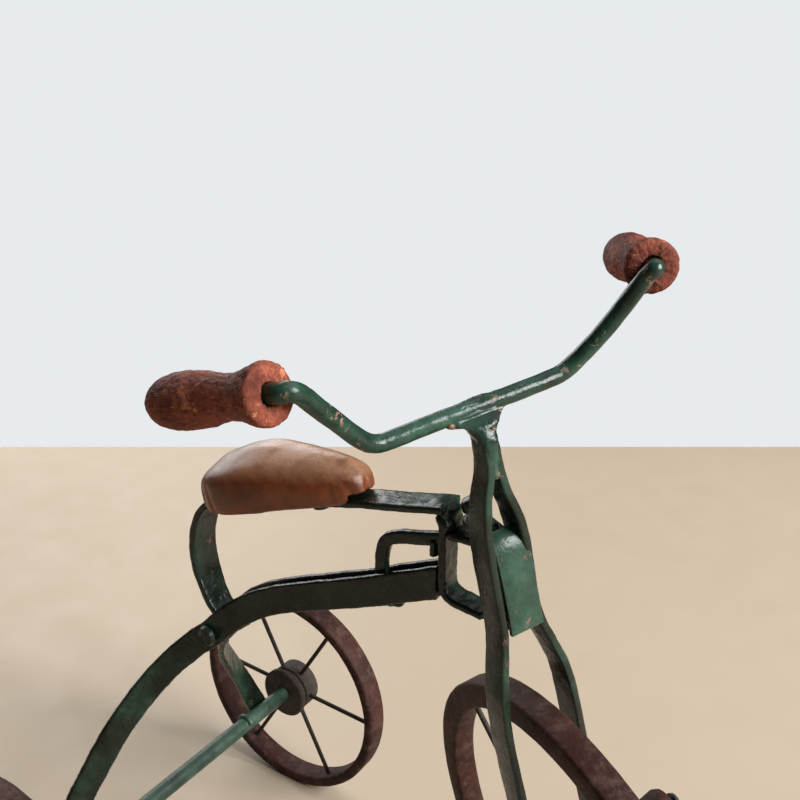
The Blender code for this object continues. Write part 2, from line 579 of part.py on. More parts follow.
CROWN = [(pin_x(CROWN_TOP_Z) - 3.9, 0, CROWN_TOP_Z), (pin_x(CROWN_TOP_Z), 0, CROWN_TOP_Z),
         (-24.0, 0, CROWN_TOP_Z), (-21.0, 0, CROWN_TOP_Z - 0.3), (-19.2, 0, CROWN_TOP_Z - 2.0),
         (-17.9, 0, 109.0), (-15.2, 0, 98.5), (-14.9, 0, CROWN_LOW_Z + 2.2), (-16.4, 0, CROWN_LOW_Z + 0.3),
         (-19.0, 0, CROWN_LOW_Z), (pin_x(CROWN_LOW_Z), 0, CROWN_LOW_Z), (pin_x(CROWN_LOW_Z) - 4.0, 0,
                                                                         CROWN_LOW_Z)]
crown_path = catmull(CROWN, 3)
crown_thin = []
for i, p in enumerate(crown_path):
    d = (crown_path[min(i + 1, len(crown_path) - 1)] - crown_path[max(i - 1, 0)]).normalized()
    crown_thin.append(d.cross(Y))
crown_path = [p + Vector((0, CROWN_Y, 0)) for p in crown_path]
crown = sweep("fork_crown", crown_path, crown_thin, flat(2 * CROWN_HALF, CROWN_T), GREEN, steered,
              STEER_PIVOT)
for tag, z in (("low", CROWN_LOW_Z), ("top", CROWN_TOP_Z)):
    cut(crown, cutter(f"cut_crown_{tag}", (pin_x(z), 0, z), STEER_AXIS, PIN_D / 2 + 0.2, 5, steered))
    for side, sign in (("left", 1), ("right", -1)):
        corner = Vector((pin_x(z) - 4.2, CROWN_Y + sign * (CROWN_HALF + 0.2), z))
        lathe_cut = cutter(f"cut_corner_{tag}_{side}", corner, (0, 0, 1), 2.6, 4, steered, seg=4)
        cut(crown, lathe_cut)

# Steering pin along the raked axis, with a round head on top and a peened end below the lower arm.
COS_R = math.cos(STEER_RAKE)
LOW_S = (LOW_ARM_Z - STEER_PIVOT.z) / COS_R
TOP_S = CROWN_TOP_Z / COS_R
head_low = (CROWN_TOP_Z + CROWN_T / 2 + 1.75) / COS_R
lathe("steering_pin", STEER_PIVOT, STEER_AXIS,
      [(LOW_S - 4.6, 1.6), (LOW_S - 4.2, 2.2), (LOW_S - 3.4, 2.3), (LOW_S - 3.2, PIN_D / 2),
       (head_low, PIN_D / 2), (head_low, 3.5), (head_low + 2.9, 3.4),
       (head_low + 3.7, 2.6)], STEEL, straight, STEER_PIVOT, seg=28)
# Crown rivet: a round head standing on the crown's top flange.
lathe("crown_rivet", (-23.6, CROWN_Y, CROWN_TOP_Z), (0, 0, 1),
      [(CROWN_T / 2 + GAP, 2.0), (CROWN_T / 2 + 0.9, 1.9), (CROWN_T / 2 + 1.6, 1.1)], STEEL, steered,
      STEER_PIVOT, seg=20)

# Handlebar: one bent rod, and a turned wooden grip on each end.
GRIP_START = {"left": Vector((-19.6, 48.4, 169.6)), "right": Vector((-19.2, -47.4, 169.6))}
GRIP_END = {"left": Vector((-52.0, 66.3, 162.4)), "right": Vector((-52.0, -64.8, 162.0))}
GRIP_DIR = {side: (GRIP_END[side] - GRIP_START[side]).normalized() for side in ("left", "right")}
HALF_ROD = {
    "left": [(-26.1, 21.0, 147.5), (-26.0, 25.4, 148.0), (-25.3, 29.6, 150.4), (-23.2, 35.8, 156.0),
             (-21.0, 40.6, 161.8), (-18.6, 43.4, 166.6), (-17.0, 44.7, 169.2), (-16.0, 45.8, 170.4)],
    "right": [(-26.1, -21.0, 147.1), (-26.0, -25.8, 147.7), (-25.3, -29.4, 150.8), (-23.2, -34.5, 157.6),
              (-20.8, -38.4, 162.8), (-18.4, -41.2, 166.8), (-16.8, -43.0, 169.0), (-16.0, -44.8, 170.2)]}


def half_rod(side):
    bend = [Vector(p) for p in HALF_ROD[side]]
    ends = [GRIP_START[side] + GRIP_DIR[side] * t for t in (-2.2, 3.0, 24.0)]
    return bend + ends


rod = list(reversed(half_rod("right"))) + [Vector((-26.1, y, 147.3)) for y in (-10, 0, 10)] + half_rod("left")
rod_path = catmull(rod, 3)
rod_thin = []
normal = Vector((0, 0, 1))
for i, p in enumerate(rod_path):
    d = (rod_path[min(i + 1, len(rod_path) - 1)] - rod_path[max(i - 1, 0)]).normalized()
    normal = (normal - d * normal.dot(d)).normalized()
    rod_thin.append(normal.copy())
sweep("handlebar", rod_path, rod_thin, round_section(ROD_D), GREEN, steered, STEER_PIVOT)
GR = GRIP_D / 2
GRIP_PROFILE = [(0.0, 0.90), (0.02, 1.02), (0.055, 1.04), (0.12, 0.95), (0.2, 0.83), (0.3, 0.77), (0.4, 0.82),
                (0.52, 0.94), (0.64, 1.0), (0.75, 1.0), (0.85, 0.92), (0.92, 0.78), (0.965, 0.56),
                (0.98, 0.28)]
for side in ("left", "right"):
    along = GRIP_DIR[side]
    start = GRIP_START[side] + along * (ROD_D - DRAWN_ROD_D)
    grip = lathe(f"grip_{side}", start, along, [(t * GRIP_L, r * GR) for t, r in GRIP_PROFILE], GRIP_WOOD,
                 steered,
                 STEER_PIVOT, seg=32)
    cut(grip, cutter(f"cut_grip_{side}", start + along * 10.0, along, ROD_D / 2 + GAP, 14.6, steered))

# The part rests on the ground with its origin under the middle of its box.
parts = [o for o in bpy.data.objects if o.type == 'MESH' and not o.hide_render]
corners = [o.matrix_basis @ v.co for o in parts for v in o.data.vertices]
low = Vector((min(c.x for c in corners), min(c.y for c in corners), min(c.z for c in corners)))
high = Vector((max(c.x for c in corners), max(c.y for c in corners), max(c.z for c in corners)))
shift = Vector(((low.x + high.x) / 2, (low.y + high.y) / 2, low.z))
for o in bpy.data.objects:
    o.location -= shift
print("shift_mm", [round(s / MM, 4) for s in shift])
print("box_mm", [round(a / MM, 3) for a in (high - low)])


def report(name, p):
    print(name, [round(a, 6) for a in (p * MM - shift)])


report("steer_pivot", STEER_PIVOT)
report("front_axle", steered(O3))
report("rear_axle_left", Vector((0, REAR_Y_MID, REAR_AXLE_Z)))
report("pedal_left", steered(Vector((math.cos(CRANK_UP), 0, math.sin(CRANK_UP))) * CRANK_R))
report("pedal_right", steered(Vector((math.cos(CRANK_UP), 0, math.sin(CRANK_UP))) * -CRANK_R))
print("steer_axis", [round(a, 6) for a in STEER_AXIS])
print("wheel_axis", [round(a, 6) for a in TURN @ Y])
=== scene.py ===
# %% [markdown]
# # A small metal tricycle
# The frame of the model is already built as exact solids: flat bars, rims, hubs, spokes and pins.
# This lesson loads those solids and gives them their looks. It makes the hand-worked pieces again with
# softer edges, stuffs the leather saddle, lays the weld beads, and paints everything with node materials.

# %% Load the solids
import json
import math

import bmesh
import bpy
from mathutils import Matrix, Vector, noise

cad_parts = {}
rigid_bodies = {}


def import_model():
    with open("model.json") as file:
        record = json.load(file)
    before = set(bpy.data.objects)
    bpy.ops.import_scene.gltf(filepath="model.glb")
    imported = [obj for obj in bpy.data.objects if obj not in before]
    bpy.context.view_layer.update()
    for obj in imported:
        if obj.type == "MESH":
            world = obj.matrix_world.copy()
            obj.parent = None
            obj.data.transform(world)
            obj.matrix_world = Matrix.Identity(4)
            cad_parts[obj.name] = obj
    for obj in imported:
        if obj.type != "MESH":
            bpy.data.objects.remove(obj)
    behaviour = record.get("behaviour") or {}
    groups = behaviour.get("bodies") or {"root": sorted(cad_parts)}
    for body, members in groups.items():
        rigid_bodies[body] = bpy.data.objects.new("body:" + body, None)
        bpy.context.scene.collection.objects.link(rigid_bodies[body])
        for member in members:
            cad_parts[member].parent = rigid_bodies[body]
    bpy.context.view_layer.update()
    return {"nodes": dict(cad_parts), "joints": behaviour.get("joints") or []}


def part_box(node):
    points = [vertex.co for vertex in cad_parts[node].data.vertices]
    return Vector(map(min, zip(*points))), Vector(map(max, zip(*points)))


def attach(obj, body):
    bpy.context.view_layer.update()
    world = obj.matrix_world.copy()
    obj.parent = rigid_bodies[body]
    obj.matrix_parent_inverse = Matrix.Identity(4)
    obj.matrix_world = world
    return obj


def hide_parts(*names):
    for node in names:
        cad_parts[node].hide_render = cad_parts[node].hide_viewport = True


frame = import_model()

MM = 0.001
NODES = frame["nodes"]
JOINTS = {joint["name"]: joint for joint in frame["joints"]}

# %% [markdown]
# The tricycle's own measures help to place every piece. The rear axle's centre, the steering pivot and the
# steering axis come from the solids and their joints, so a piece made here always meets the solid beside it.
# The front assembly is drawn with the wheel straight ahead and then turned about the raked steering axis.

# %% Places on the tricycle
rear_low, rear_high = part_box("rear_axle")
AXLE = (rear_low + rear_high) / 2
BASE = Vector((AXLE.x, 0, 0))
PIVOT = Vector(JOINTS["steering"]["pos_m"])
STEER_AXIS = Vector(JOINTS["steering"]["axis"])
REST_TURN = math.radians(32.1)
STEER_TRAIL = 0.0137
TURN = Matrix.Rotation(-REST_TURN, 3, STEER_AXIS)


def frame_point(p):
    """A point in millimetres from the ground under the rear axle."""
    return BASE + Vector(p) * MM


def front_point(p):
    """A point in millimetres from the front wheel's centre, wheel straight ahead, then turned."""
    return PIVOT + TURN @ (Vector(p) * MM - Vector((STEER_TRAIL, 0, 0)))


def frame_way(d):
    return Vector(d).normalized()


def front_way(d):
    return (TURN @ Vector(d)).normalized()


print("rear axle", [round(a * 1000, 1) for a in AXLE], "pivot", [round(a * 1000, 1) for a in PIVOT])

# %% [markdown]
# ## Camera, floor and light
# A small object looks right from close by, with a moderately long lens. The floor is a plain pale plane that
# ends behind the tricycle, so its far edge gives the picture a horizon.

# %% Camera and stage
CAM_TURN = math.radians(32.77)
CAM_DIP = math.radians(17.47)
cam_data = bpy.data.cameras.new("camera")
cam_data.lens = 38.63
cam_data.sensor_width = 36.0
cam_data.dof.use_dof = False
cam_data.clip_start = 0.01
cam = bpy.data.objects.new("camera", cam_data)
cam.location = BASE + Vector((0.2109, -0.1751, 0.2747))
cam.rotation_euler = (math.radians(90) - CAM_DIP, 0, CAM_TURN)
bpy.context.scene.collection.objects.link(cam)
bpy.context.scene.camera = cam

SIGHT = Vector((-math.sin(CAM_TURN), math.cos(CAM_TURN), 0))
FLOOR_REACH = 0.731
FLOOR_HALF = 3.0
FLOOR_LENGTH = 4.4


def plane(name, corners):
    mesh = bpy.data.meshes.new(name)
    mesh.from_pydata([Vector(c) for c in corners], [], [(0, 1, 2, 3)])
    obj = bpy.data.objects.new(name, mesh)
    bpy.context.scene.collection.objects.link(obj)
    return obj


far = Vector((cam.location.x, cam.location.y, 0)) + SIGHT * FLOOR_REACH
near = far - SIGHT * FLOOR_LENGTH
across = Vector((SIGHT.y, -SIGHT.x, 0)) * FLOOR_HALF
floor = plane("floor", [near - across, near + across, far + across, far - across])
print("floor ends", FLOOR_REACH, "m beyond the camera")

# %% [markdown]
# One large soft lamp stands ahead of the front wheel, as a window would. A weak lamp above and another behind
# the saddle fill the shade. The camera sees a pale wall, but the metal is lit by a much darker one.

# %% Lamps and surroundings
bpy.context.scene.view_settings.view_transform = 'Standard'
world = bpy.data.worlds.new("surroundings")
bpy.context.scene.world = world
world.use_nodes = True
tree = world.node_tree
tree.nodes.clear()
path = tree.nodes.new("ShaderNodeLightPath")
seen = tree.nodes.new("ShaderNodeBackground")
seen.inputs["Color"].default_value = (0.80, 0.83, 0.85, 1)
seen.inputs["Strength"].default_value = 1.0
around = tree.nodes.new("ShaderNodeBackground")
around.inputs["Color"].default_value = (0.95, 0.97, 1.0, 1)
around.inputs["Strength"].default_value = 0.07
both = tree.nodes.new("ShaderNodeMixShader")
out = tree.nodes.new("ShaderNodeOutputWorld")
tree.links.new(path.outputs["Is Camera Ray"], both.inputs["Fac"])
tree.links.new(around.outputs[0], both.inputs[1])
tree.links.new(seen.outputs[0], both.inputs[2])
tree.links.new(both.outputs[0], out.inputs[0])


def lamp(name, place, aim, size, watts):
    data = bpy.data.lights.new(name, 'AREA')
    data.shape = 'RECTANGLE'
    data.size, data.size_y = size
    data.energy = watts
    obj = bpy.data.objects.new(name, data)
    obj.location = place
    obj.rotation_euler = (Vector(aim) - Vector(place)).to_track_quat('-Z', 'Y').to_euler()
    bpy.context.scene.collection.objects.link(obj)


lamp("window_lamp", (1.9, 0.24, 1.24), (0.0, 0.0, 0.14), (1.2, 1.2), 104)
lamp("top_lamp", (0.15, 0.45, 1.05), (0.0, 0.0, 0.12), (0.9, 0.9), 2.2)
lamp("side_lamp", (-0.8, 0.45, 0.55), (0.0, 0.0, 0.12), (0.8, 0.8), 6.0)
print("lamps:", sorted(light.name for light in bpy.data.lights))

# %% [markdown]
# ## Painted and worn finishes
# Old paint is never one colour. Each finish here starts with a broad change of tone and adds a finer mottle.
# Chips then show the brown primer, and a bevel test finds the sharp edges, where paint wears off first. The
# same masks lower the surface and roughen it, so that a chip has depth and catches the light differently.


# %% Node helpers
class Nodes:
    """A short hand for building one material's node tree."""

    def __init__(self, name):
        self.material = bpy.data.materials.new(name)
        self.material.use_nodes = True
        self.tree = self.material.node_tree
        self.shader = self.tree.nodes["Principled BSDF"]
        self.coords = self.add("ShaderNodeTexCoord").outputs["Object"]

    def add(self, kind, **settings):
        node = self.tree.nodes.new(kind)
        for key, value in settings.items():
            setattr(node, key, value)
        return node

    def link(self, source, target):
        self.tree.links.new(source, target)

    def stretch(self, scale):
        """The object's coordinates, drawn out along an axis for grain."""
        node = self.add("ShaderNodeMapping")
        node.inputs["Scale"].default_value = scale
        self.link(self.coords, node.inputs["Vector"])
        return node.outputs["Vector"]

    def noise(self, scale, detail=3.0, rough=0.55, where=None, distortion=0.0):
        node = self.add("ShaderNodeTexNoise")
        node.inputs["Scale"].default_value = scale
        node.inputs["Detail"].default_value = detail
        node.inputs["Roughness"].default_value = rough
        node.inputs["Distortion"].default_value = distortion
        self.link(where or self.coords, node.inputs["Vector"])
        return node.outputs["Fac"]

    def ramp(self, source, stops):
        """stops is a list of (place, value or colour)."""
        node = self.add("ShaderNodeValToRGB")
        elements = node.color_ramp.elements
        while len(elements) < len(stops):
            elements.new(0.5)
        for element, (place, value) in zip(elements, stops):
            element.position = place
            element.color = (value, value, value, 1) if isinstance(value, (int, float)) else (*value, 1)
        self.link(source, node.inputs["Fac"])
        return node.outputs["Color"]

    def mix(self, factor, a, b):
        """Mix two colours, each a socket or a fixed colour."""
        node = self.add("ShaderNodeMix", data_type='RGBA')
        if isinstance(factor, (int, float)):
            node.inputs[0].default_value = factor
        else:
            self.link(factor, node.inputs[0])
        for socket, value in ((node.inputs[6], a), (node.inputs[7], b)):
            if isinstance(value, tuple):
                socket.default_value = (*value, 1)
            else:
                self.link(value, socket)
        return node.outputs[2]

    def maths(self, operation, a, b=0.0, c=0.0):
        clamp = operation in ('ADD', 'MULTIPLY_ADD')
        node = self.add("ShaderNodeMath", operation=operation, use_clamp=clamp)
        for socket, value in zip(node.inputs, (a, b, c)):
            if isinstance(value, (int, float)):
                socket.default_value = value
            else:
                self.link(value, socket)
        return node.outputs[0]

    def edges(self, radius, low, high):
        """A mask that is 1 on sharp edges: where a rounded normal turns away from the true one."""
        bevel = self.add("ShaderNodeBevel", samples=4)
        bevel.inputs["Radius"].default_value = radius
        geometry = self.add("ShaderNodeNewGeometry")
        dot = self.add("ShaderNodeVectorMath", operation='DOT_PRODUCT')
        self.link(bevel.outputs[0], dot.inputs[0])
        self.link(geometry.outputs["Normal"], dot.inputs[1])
        return self.ramp(dot.outputs["Value"], [(low, 1.0), (high, 0.0)])

    def finish(self, colour, roughness, height, distance, strength, specular=0.5, coat=0.0, coat_rough=0.2):
        """Join the colour, the roughness and a bump of a distance in metres to the shader."""
        shader = self.shader
        self.link(colour, shader.inputs["Base Color"])
        self.link(roughness, shader.inputs["Roughness"])
        shader.inputs["Specular IOR Level"].default_value = specular
        shader.inputs["Coat Weight"].default_value = coat
        shader.inputs["Coat Roughness"].default_value = coat_rough
        bump = self.add("ShaderNodeBump")
        bump.inputs["Strength"].default_value = strength
        bump.inputs["Distance"].default_value = distance
        self.link(height, bump.inputs["Height"])
        self.link(bump.outputs["Normal"], shader.inputs["Normal"])
        return self.material


print("node helpers ready")

# %% [markdown]
# The enamel is one green in four depths. The nearly black one on the frame is darkened as painted shade, and the
# brighter one on the crown and the rod is the same green lightened as painted light, where they face the window
# lamp. The axle's is a dusty one. The same recipe gives the rust on the drip.


# %% Worn green enamel
WORN_EDGE = 0.75


def worn_paint(name, dark, mid, light, primer, metal, chips=0.60, gloss=0.30):
    n = Nodes(name)
    broad = n.noise(70, 3, 0.6)
    fine = n.noise(420, 5, 0.65)
    tone = n.ramp(broad, [(0.34, dark), (0.52, mid), (0.70, light)])
    tone = n.mix(n.ramp(fine, [(0.42, 0.0), (0.72, 0.5)]), tone, dark)
    spots = n.noise(260, 6, 0.72, distortion=0.6)
    region = n.ramp(n.noise(95, 2, 0.5), [(0.50, 0.0), (0.62, 1.0)])
    chip = n.maths('MULTIPLY', n.ramp(spots, [(chips, 0.0), (chips + 0.03, 1.0)]), region)
    edges = n.edges(0.0009, 0.72, 0.97)
    worn_edge = n.maths('MULTIPLY', edges, n.ramp(n.noise(520, 4, 0.7), [(0.44, 0.0), (0.60, WORN_EDGE)]))
    bare = n.maths('MAXIMUM', chip, worn_edge)
    under = n.mix(n.ramp(n.noise(700, 3, 0.6), [(0.40, 0.0), (0.65, 1.0)]), primer, metal)
    colour = n.mix(bare, tone, under)
    dust = n.noise(1500, 2, 0.5)
    roughness = n.ramp(n.mix(0.4, fine, broad), [(0.30, gloss - 0.10), (0.70, gloss + 0.16)])
    roughness = n.mix(bare, roughness, (0.62, 0.62, 0.62))
    relief = n.maths('MULTIPLY_ADD', n.noise(150, 4, 0.6), 0.75, n.maths('MULTIPLY', dust, 0.08))
    relief = n.maths('SUBTRACT', relief, n.maths('MULTIPLY', bare, 0.20))
    return n.finish(colour, roughness, relief, 0.0011, 0.55, specular=0.30, coat=0.06, coat_rough=0.15)


# The frame's green is the enamel darkened as painted shade.
green = worn_paint("green_enamel", (0.004, 0.006, 0.003), (0.008, 0.017, 0.010), (0.017, 0.044, 0.028),
                   (0.120, 0.060, 0.042), (0.055, 0.042, 0.034), gloss=0.24)
# The crown's and the rod's greens are the same enamel lightened as painted light, where they face the window lamp.
crown_green_painted_light = worn_paint("crown_enamel", (0.010, 0.024, 0.015), (0.024, 0.066, 0.042), (0.042, 0.105, 0.070),
                         (0.140, 0.085, 0.058), (0.170, 0.130, 0.100), chips=0.61)
rod_green_painted_light = worn_paint("rod_enamel", (0.005, 0.012, 0.008), (0.014, 0.044, 0.028), (0.036, 0.095, 0.064),
                       (0.330, 0.170, 0.130), (0.200, 0.120, 0.090), chips=0.56, gloss=0.24)
rusty = worn_paint("rusty_drip", (0.060, 0.034, 0.020), (0.120, 0.070, 0.040), (0.200, 0.130, 0.080),
                   (0.170, 0.080, 0.040), (0.120, 0.090, 0.060), gloss=0.30)
axle_green = worn_paint("axle_enamel", (0.016, 0.030, 0.021), (0.030, 0.062, 0.043), (0.060, 0.108, 0.080),
                        (0.150, 0.095, 0.070), (0.080, 0.070, 0.060), chips=0.64)
print("enamels made")

# %% [markdown]
# The rims, hubs and wires hold a matt paint under settled dust. Dust and rubbed edges share one pale colour.


# %% Dusty paint on the wheels
def dusty_paint(name, dark, mid, light, dust_colour, rough=0.62):
    n = Nodes(name)
    broad = n.noise(55, 4, 0.6)
    grain = n.noise(900, 4, 0.7)
    tone = n.ramp(broad, [(0.32, dark), (0.52, mid), (0.72, light)])
    tone = n.mix(n.ramp(grain, [(0.40, 0.55), (0.60, 0.0)]), tone, dark)
    settled = n.ramp(n.noise(240, 5, 0.7), [(0.48, 0.0), (0.74, 0.65)])
    edges = n.edges(0.0010, 0.75, 0.98)
    rubbed = n.maths('MULTIPLY', edges, n.ramp(n.noise(380, 4, 0.7), [(0.40, 0.1), (0.62, 0.9)]))
    colour = n.mix(n.maths('MAXIMUM', settled, rubbed), tone, dust_colour)
    roughness = n.ramp(grain, [(0.30, rough - 0.08), (0.70, rough + 0.14)])
    relief = n.maths('MULTIPLY_ADD', n.noise(420, 5, 0.7), 0.8, n.maths('MULTIPLY', grain, 0.3))
    return n.finish(colour, roughness, relief, 0.0008, 0.5, specular=0.22)


rim_red = dusty_paint("rim_paint", (0.018, 0.005, 0.003), (0.040, 0.011, 0.007), (0.070, 0.024, 0.016),
                      (0.115, 0.072, 0.056))
hub_dark = dusty_paint("hub_paint", (0.022, 0.016, 0.014), (0.045, 0.033, 0.028), (0.080, 0.062, 0.052),
                       (0.125, 0.100, 0.085))
wire_dark = dusty_paint("spoke_wire", (0.014, 0.011, 0.009), (0.030, 0.022, 0.017), (0.055, 0.036, 0.026),
                        (0.090, 0.062, 0.045), rough=0.5)
steel_dark = worn_paint("blackened_steel", (0.012, 0.014, 0.012), (0.024, 0.030, 0.025), (0.045, 0.052, 0.044),
                        (0.080, 0.048, 0.032), (0.100, 0.090, 0.080), gloss=0.34)
print("wheel finishes made")

# %% [markdown]
# The grips are soft wood under a thin red paint. Noise that is drawn out along one axis gives the fibres, and
# shows them where the paint has chipped.


# %% Painted wood of the grips
GRAIN = (60, 620, 620)


def painted_wood(name, dark, mid, light, chip):
    n = Nodes(name)
    broad = n.noise(110, 4, 0.6)
    fibre = n.noise(1.0, 5, 0.7, where=n.stretch(GRAIN))
    crumb = n.noise(1100, 5, 0.75)
    tone = n.ramp(broad, [(0.30, dark), (0.52, mid), (0.72, light)])
    tone = n.mix(n.ramp(crumb, [(0.36, 0.75), (0.56, 0.0)]), tone, dark)
    spots = n.noise(190, 6, 0.75, distortion=0.8)
    chipped = n.ramp(spots, [(0.56, 0.0), (0.60, 0.9)])
    edges = n.edges(0.0016, 0.80, 0.99)
    rubbed = n.maths('MULTIPLY', edges, n.ramp(n.noise(330, 4, 0.7), [(0.42, 0.0), (0.60, 0.8)]))
    bare = n.maths('MAXIMUM', chipped, rubbed)
    colour = n.mix(bare, tone, n.mix(n.ramp(fibre, [(0.35, 0.0), (0.65, 1.0)]), chip, mid))
    roughness = n.ramp(crumb, [(0.30, 0.50), (0.70, 0.78)])
    relief = n.maths('MULTIPLY_ADD', crumb, 0.5, n.maths('MULTIPLY', fibre, 0.35))
    relief = n.maths('SUBTRACT', relief, n.maths('MULTIPLY', bare, 0.25))
    return n.finish(colour, roughness, relief, 0.0012, 0.75, specular=0.22)


wood = painted_wood("painted_wood", (0.080, 0.016, 0.010), (0.250, 0.062, 0.034), (0.430, 0.125, 0.070),
                    (0.640, 0.240, 0.120))
print("wood made")

# %% [markdown]
# Leather that faces up is painted pale, as painted sheen and painted light from above, and the sides keep their
# dark, warm colour. The height of the surface normal tells the two apart. Stains lie over both, and a fine cell
# pattern gives the pores.


# %% Saddle leather
def saddle_leather():
    n = Nodes("saddle_hide")
    broad = n.noise(60, 4, 0.6)
    stain = n.noise(190, 5, 0.7)
    pores = n.add("ShaderNodeTexVoronoi", feature='DISTANCE_TO_EDGE')
    pores.inputs["Scale"].default_value = 1500
    n.link(n.coords, pores.inputs["Vector"])
    crease = n.ramp(pores.outputs["Distance"], [(0.02, 0.0), (0.22, 1.0)])
    split = n.add("ShaderNodeSeparateXYZ")
    geometry = n.add("ShaderNodeNewGeometry")
    n.link(geometry.outputs["Normal"], split.inputs[0])
    # side is 1 where the leather faces up. The paler top tone mixed in there is painted sheen and painted light
    # from above.
    side = n.ramp(split.outputs["Z"], [(0.25, 0.0), (0.60, 0.65), (0.90, 1.0)])
    side_tone = n.ramp(broad, [(0.32, (0.080, 0.016, 0.004)), (0.52, (0.215, 0.052, 0.012)),
                               (0.72, (0.330, 0.098, 0.022))])
    top_tone_painted_sheen = n.ramp(broad, [(0.30, (0.270, 0.120, 0.058)), (0.52, (0.370, 0.190, 0.105)),
                              (0.72, (0.440, 0.250, 0.150))])
    colour = n.mix(side, side_tone, top_tone_painted_sheen)
    colour = n.mix(n.ramp(stain, [(0.50, 0.0), (0.74, 0.55)]), colour, (0.070, 0.026, 0.012))
    colour = n.mix(n.ramp(crease, [(0.0, 0.16), (1.0, 0.0)]), colour, (0.030, 0.010, 0.006))
    roughness = n.ramp(stain, [(0.30, 0.24), (0.70, 0.38)])
    relief = n.maths('MULTIPLY_ADD', crease, 0.30, n.maths('MULTIPLY', stain, 0.45))
    return n.finish(colour, roughness, relief, 0.0005, 0.20, specular=0.45)


hide = saddle_leather()
print("leather made")

# %% [markdown]
# ## Pieces worked again
# The solids are exact but plain. A bent rod, a turned grip and a stitched saddle show softer forms and small
# dents on the real tricycle. Each of these is built again from curves and vertices, lies where its solid lies,
# and takes the solid's place in the picture. The solids stay underneath for the simulator.


# %% Tools for hand-made pieces
def smooth_run(points, steps):
    """A smooth run of points through the given ones."""
    pts = [Vector(p) for p in points]
    pts = [pts[0] * 2 - pts[1]] + pts + [pts[-1] * 2 - pts[-2]]
    out = []
    for i in range(1, len(pts) - 2):
        a, b, c, d = pts[i - 1:i + 3]
        for k in range(steps):
            t = k / steps
            out.append(0.5 * (2 * b + (c - a) * t + (2 * a - 5 * b + 4 * c - d) * t ** 2
                              + (3 * b - a - 3 * c + d) * t ** 3))
    return out + [pts[-2]]


def smooth_run_4(rows, steps):
    """The same smooth run for rows of four numbers."""
    first = smooth_run([row[:3] for row in rows], steps)
    last = smooth_run([(row[3], 0, 0) for row in rows], steps)
    return [(*a, b.x) for a, b in zip(first, last)]


def piece(name, verts, faces, finish, body, stands_for=()):
    """A closed mesh that rides on a body, with its finish and the solids that it stands for."""
    mesh = bpy.data.meshes.new(name)
    mesh.from_pydata(verts, [], faces)
    bm = bmesh.new()
    bm.from_mesh(mesh)
    bmesh.ops.recalc_face_normals(bm, faces=bm.faces)
    bm.to_mesh(mesh)
    bm.free()
    mesh.shade_smooth()
    mesh.set_sharp_from_angle(angle=math.radians(50))
    mesh.materials.append(finish)
    obj = bpy.data.objects.new(name, mesh)
    bpy.context.scene.collection.objects.link(obj)
    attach(obj, body)
    if stands_for:
        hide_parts(*stands_for)
    return obj


def loft(rings, closed=False):
    """Vertices and faces of a skin over rings of equal count, capped at both ends unless it closes on itself."""
    count = len(rings[0])
    verts = [v for ring in rings for v in ring]
    faces = []
    last = len(rings) if closed else len(rings) - 1
    for i in range(last):
        j = (i + 1) % len(rings)
        for k in range(count):
            m = (k + 1) % count
            faces.append((i * count + k, i * count + m, j * count + m, j * count + k))
    if not closed:
        faces.append(tuple(range(count))[::-1])
        faces.append(tuple(range((len(rings) - 1) * count, len(rings) * count)))
    return verts, faces


def roughen(obj, depth, size, octaves=3, pits=0.0, pit_size=1.0):
    """Push vertices along their normals by a soft noise, and sink scattered pits. All in millimetres."""
    mesh = obj.data
    ways = [n.vector.copy() for n in mesh.vertex_normals]
    for v, way in zip(mesh.vertices, ways):
        move = noise.fractal(v.co / (size * MM), 0.9, 2.1, octaves) * depth
        if pits:
            hole = noise.noise(v.co / (pit_size * MM))
            move -= pits * min(1.0, max(0.0, (hole - 0.16) / 0.12))
        v.co += way * move * MM
    mesh.update()


def circle_rings(path, radius, seg):
    """Round sections of one radius along a path."""
    rings = []
    way = Vector((0, 0, 1))
    for i, p in enumerate(path):
        d = (path[min(i + 1, len(path) - 1)] - path[max(i - 1, 0)]).normalized()
        way = (way - d * way.dot(d)).normalized()
        side = d.cross(way)
        rings.append([p + (way * math.cos(a) + side * math.sin(a)) * radius
                      for a in (2 * math.pi * k / seg for k in range(seg))])
    return rings


print("tools ready")

# %% [markdown]
# The handlebar is one steel rod, bent up and back by hand, so its two halves are not quite alike. A tube over a
# smooth run of points keeps the bends round. A very low noise gives the thick, uneven coats of old enamel.

# %% Handlebar rod
ROD_R = 2.15
ROD_SEG = 28
GRIP_START = {"left": (-19.6, 48.4, 169.6), "right": (-19.2, -47.4, 169.6)}
GRIP_END = {"left": (-52.0, 66.3, 162.4), "right": (-52.0, -64.8, 162.0)}
GRIP_WAY = {side: (Vector(GRIP_END[side]) - Vector(GRIP_START[side])).normalized() for side in GRIP_START}
HALF_ROD = {
    "left": [(-26.1, 21.0, 147.5), (-26.0, 25.4, 148.0), (-25.3, 29.6, 150.4), (-23.2, 35.8, 156.0),
             (-21.0, 40.6, 161.8), (-18.6, 43.4, 166.6), (-17.0, 44.7, 169.2), (-16.0, 45.8, 170.4)],
    "right": [(-26.1, -21.0, 147.1), (-26.0, -25.8, 147.7), (-25.3, -29.4, 150.8), (-23.2, -34.5, 157.6),
              (-20.8, -38.4, 162.8), (-18.4, -41.2, 166.8), (-16.8, -43.0, 169.0), (-16.0, -44.8, 170.2)]}


def half_rod(side):
    tail = [Vector(GRIP_START[side]) + GRIP_WAY[side] * t for t in (-2.2, 3.0, 12.0, 24.0)]
    return [Vector(p) for p in HALF_ROD[side]] + tail


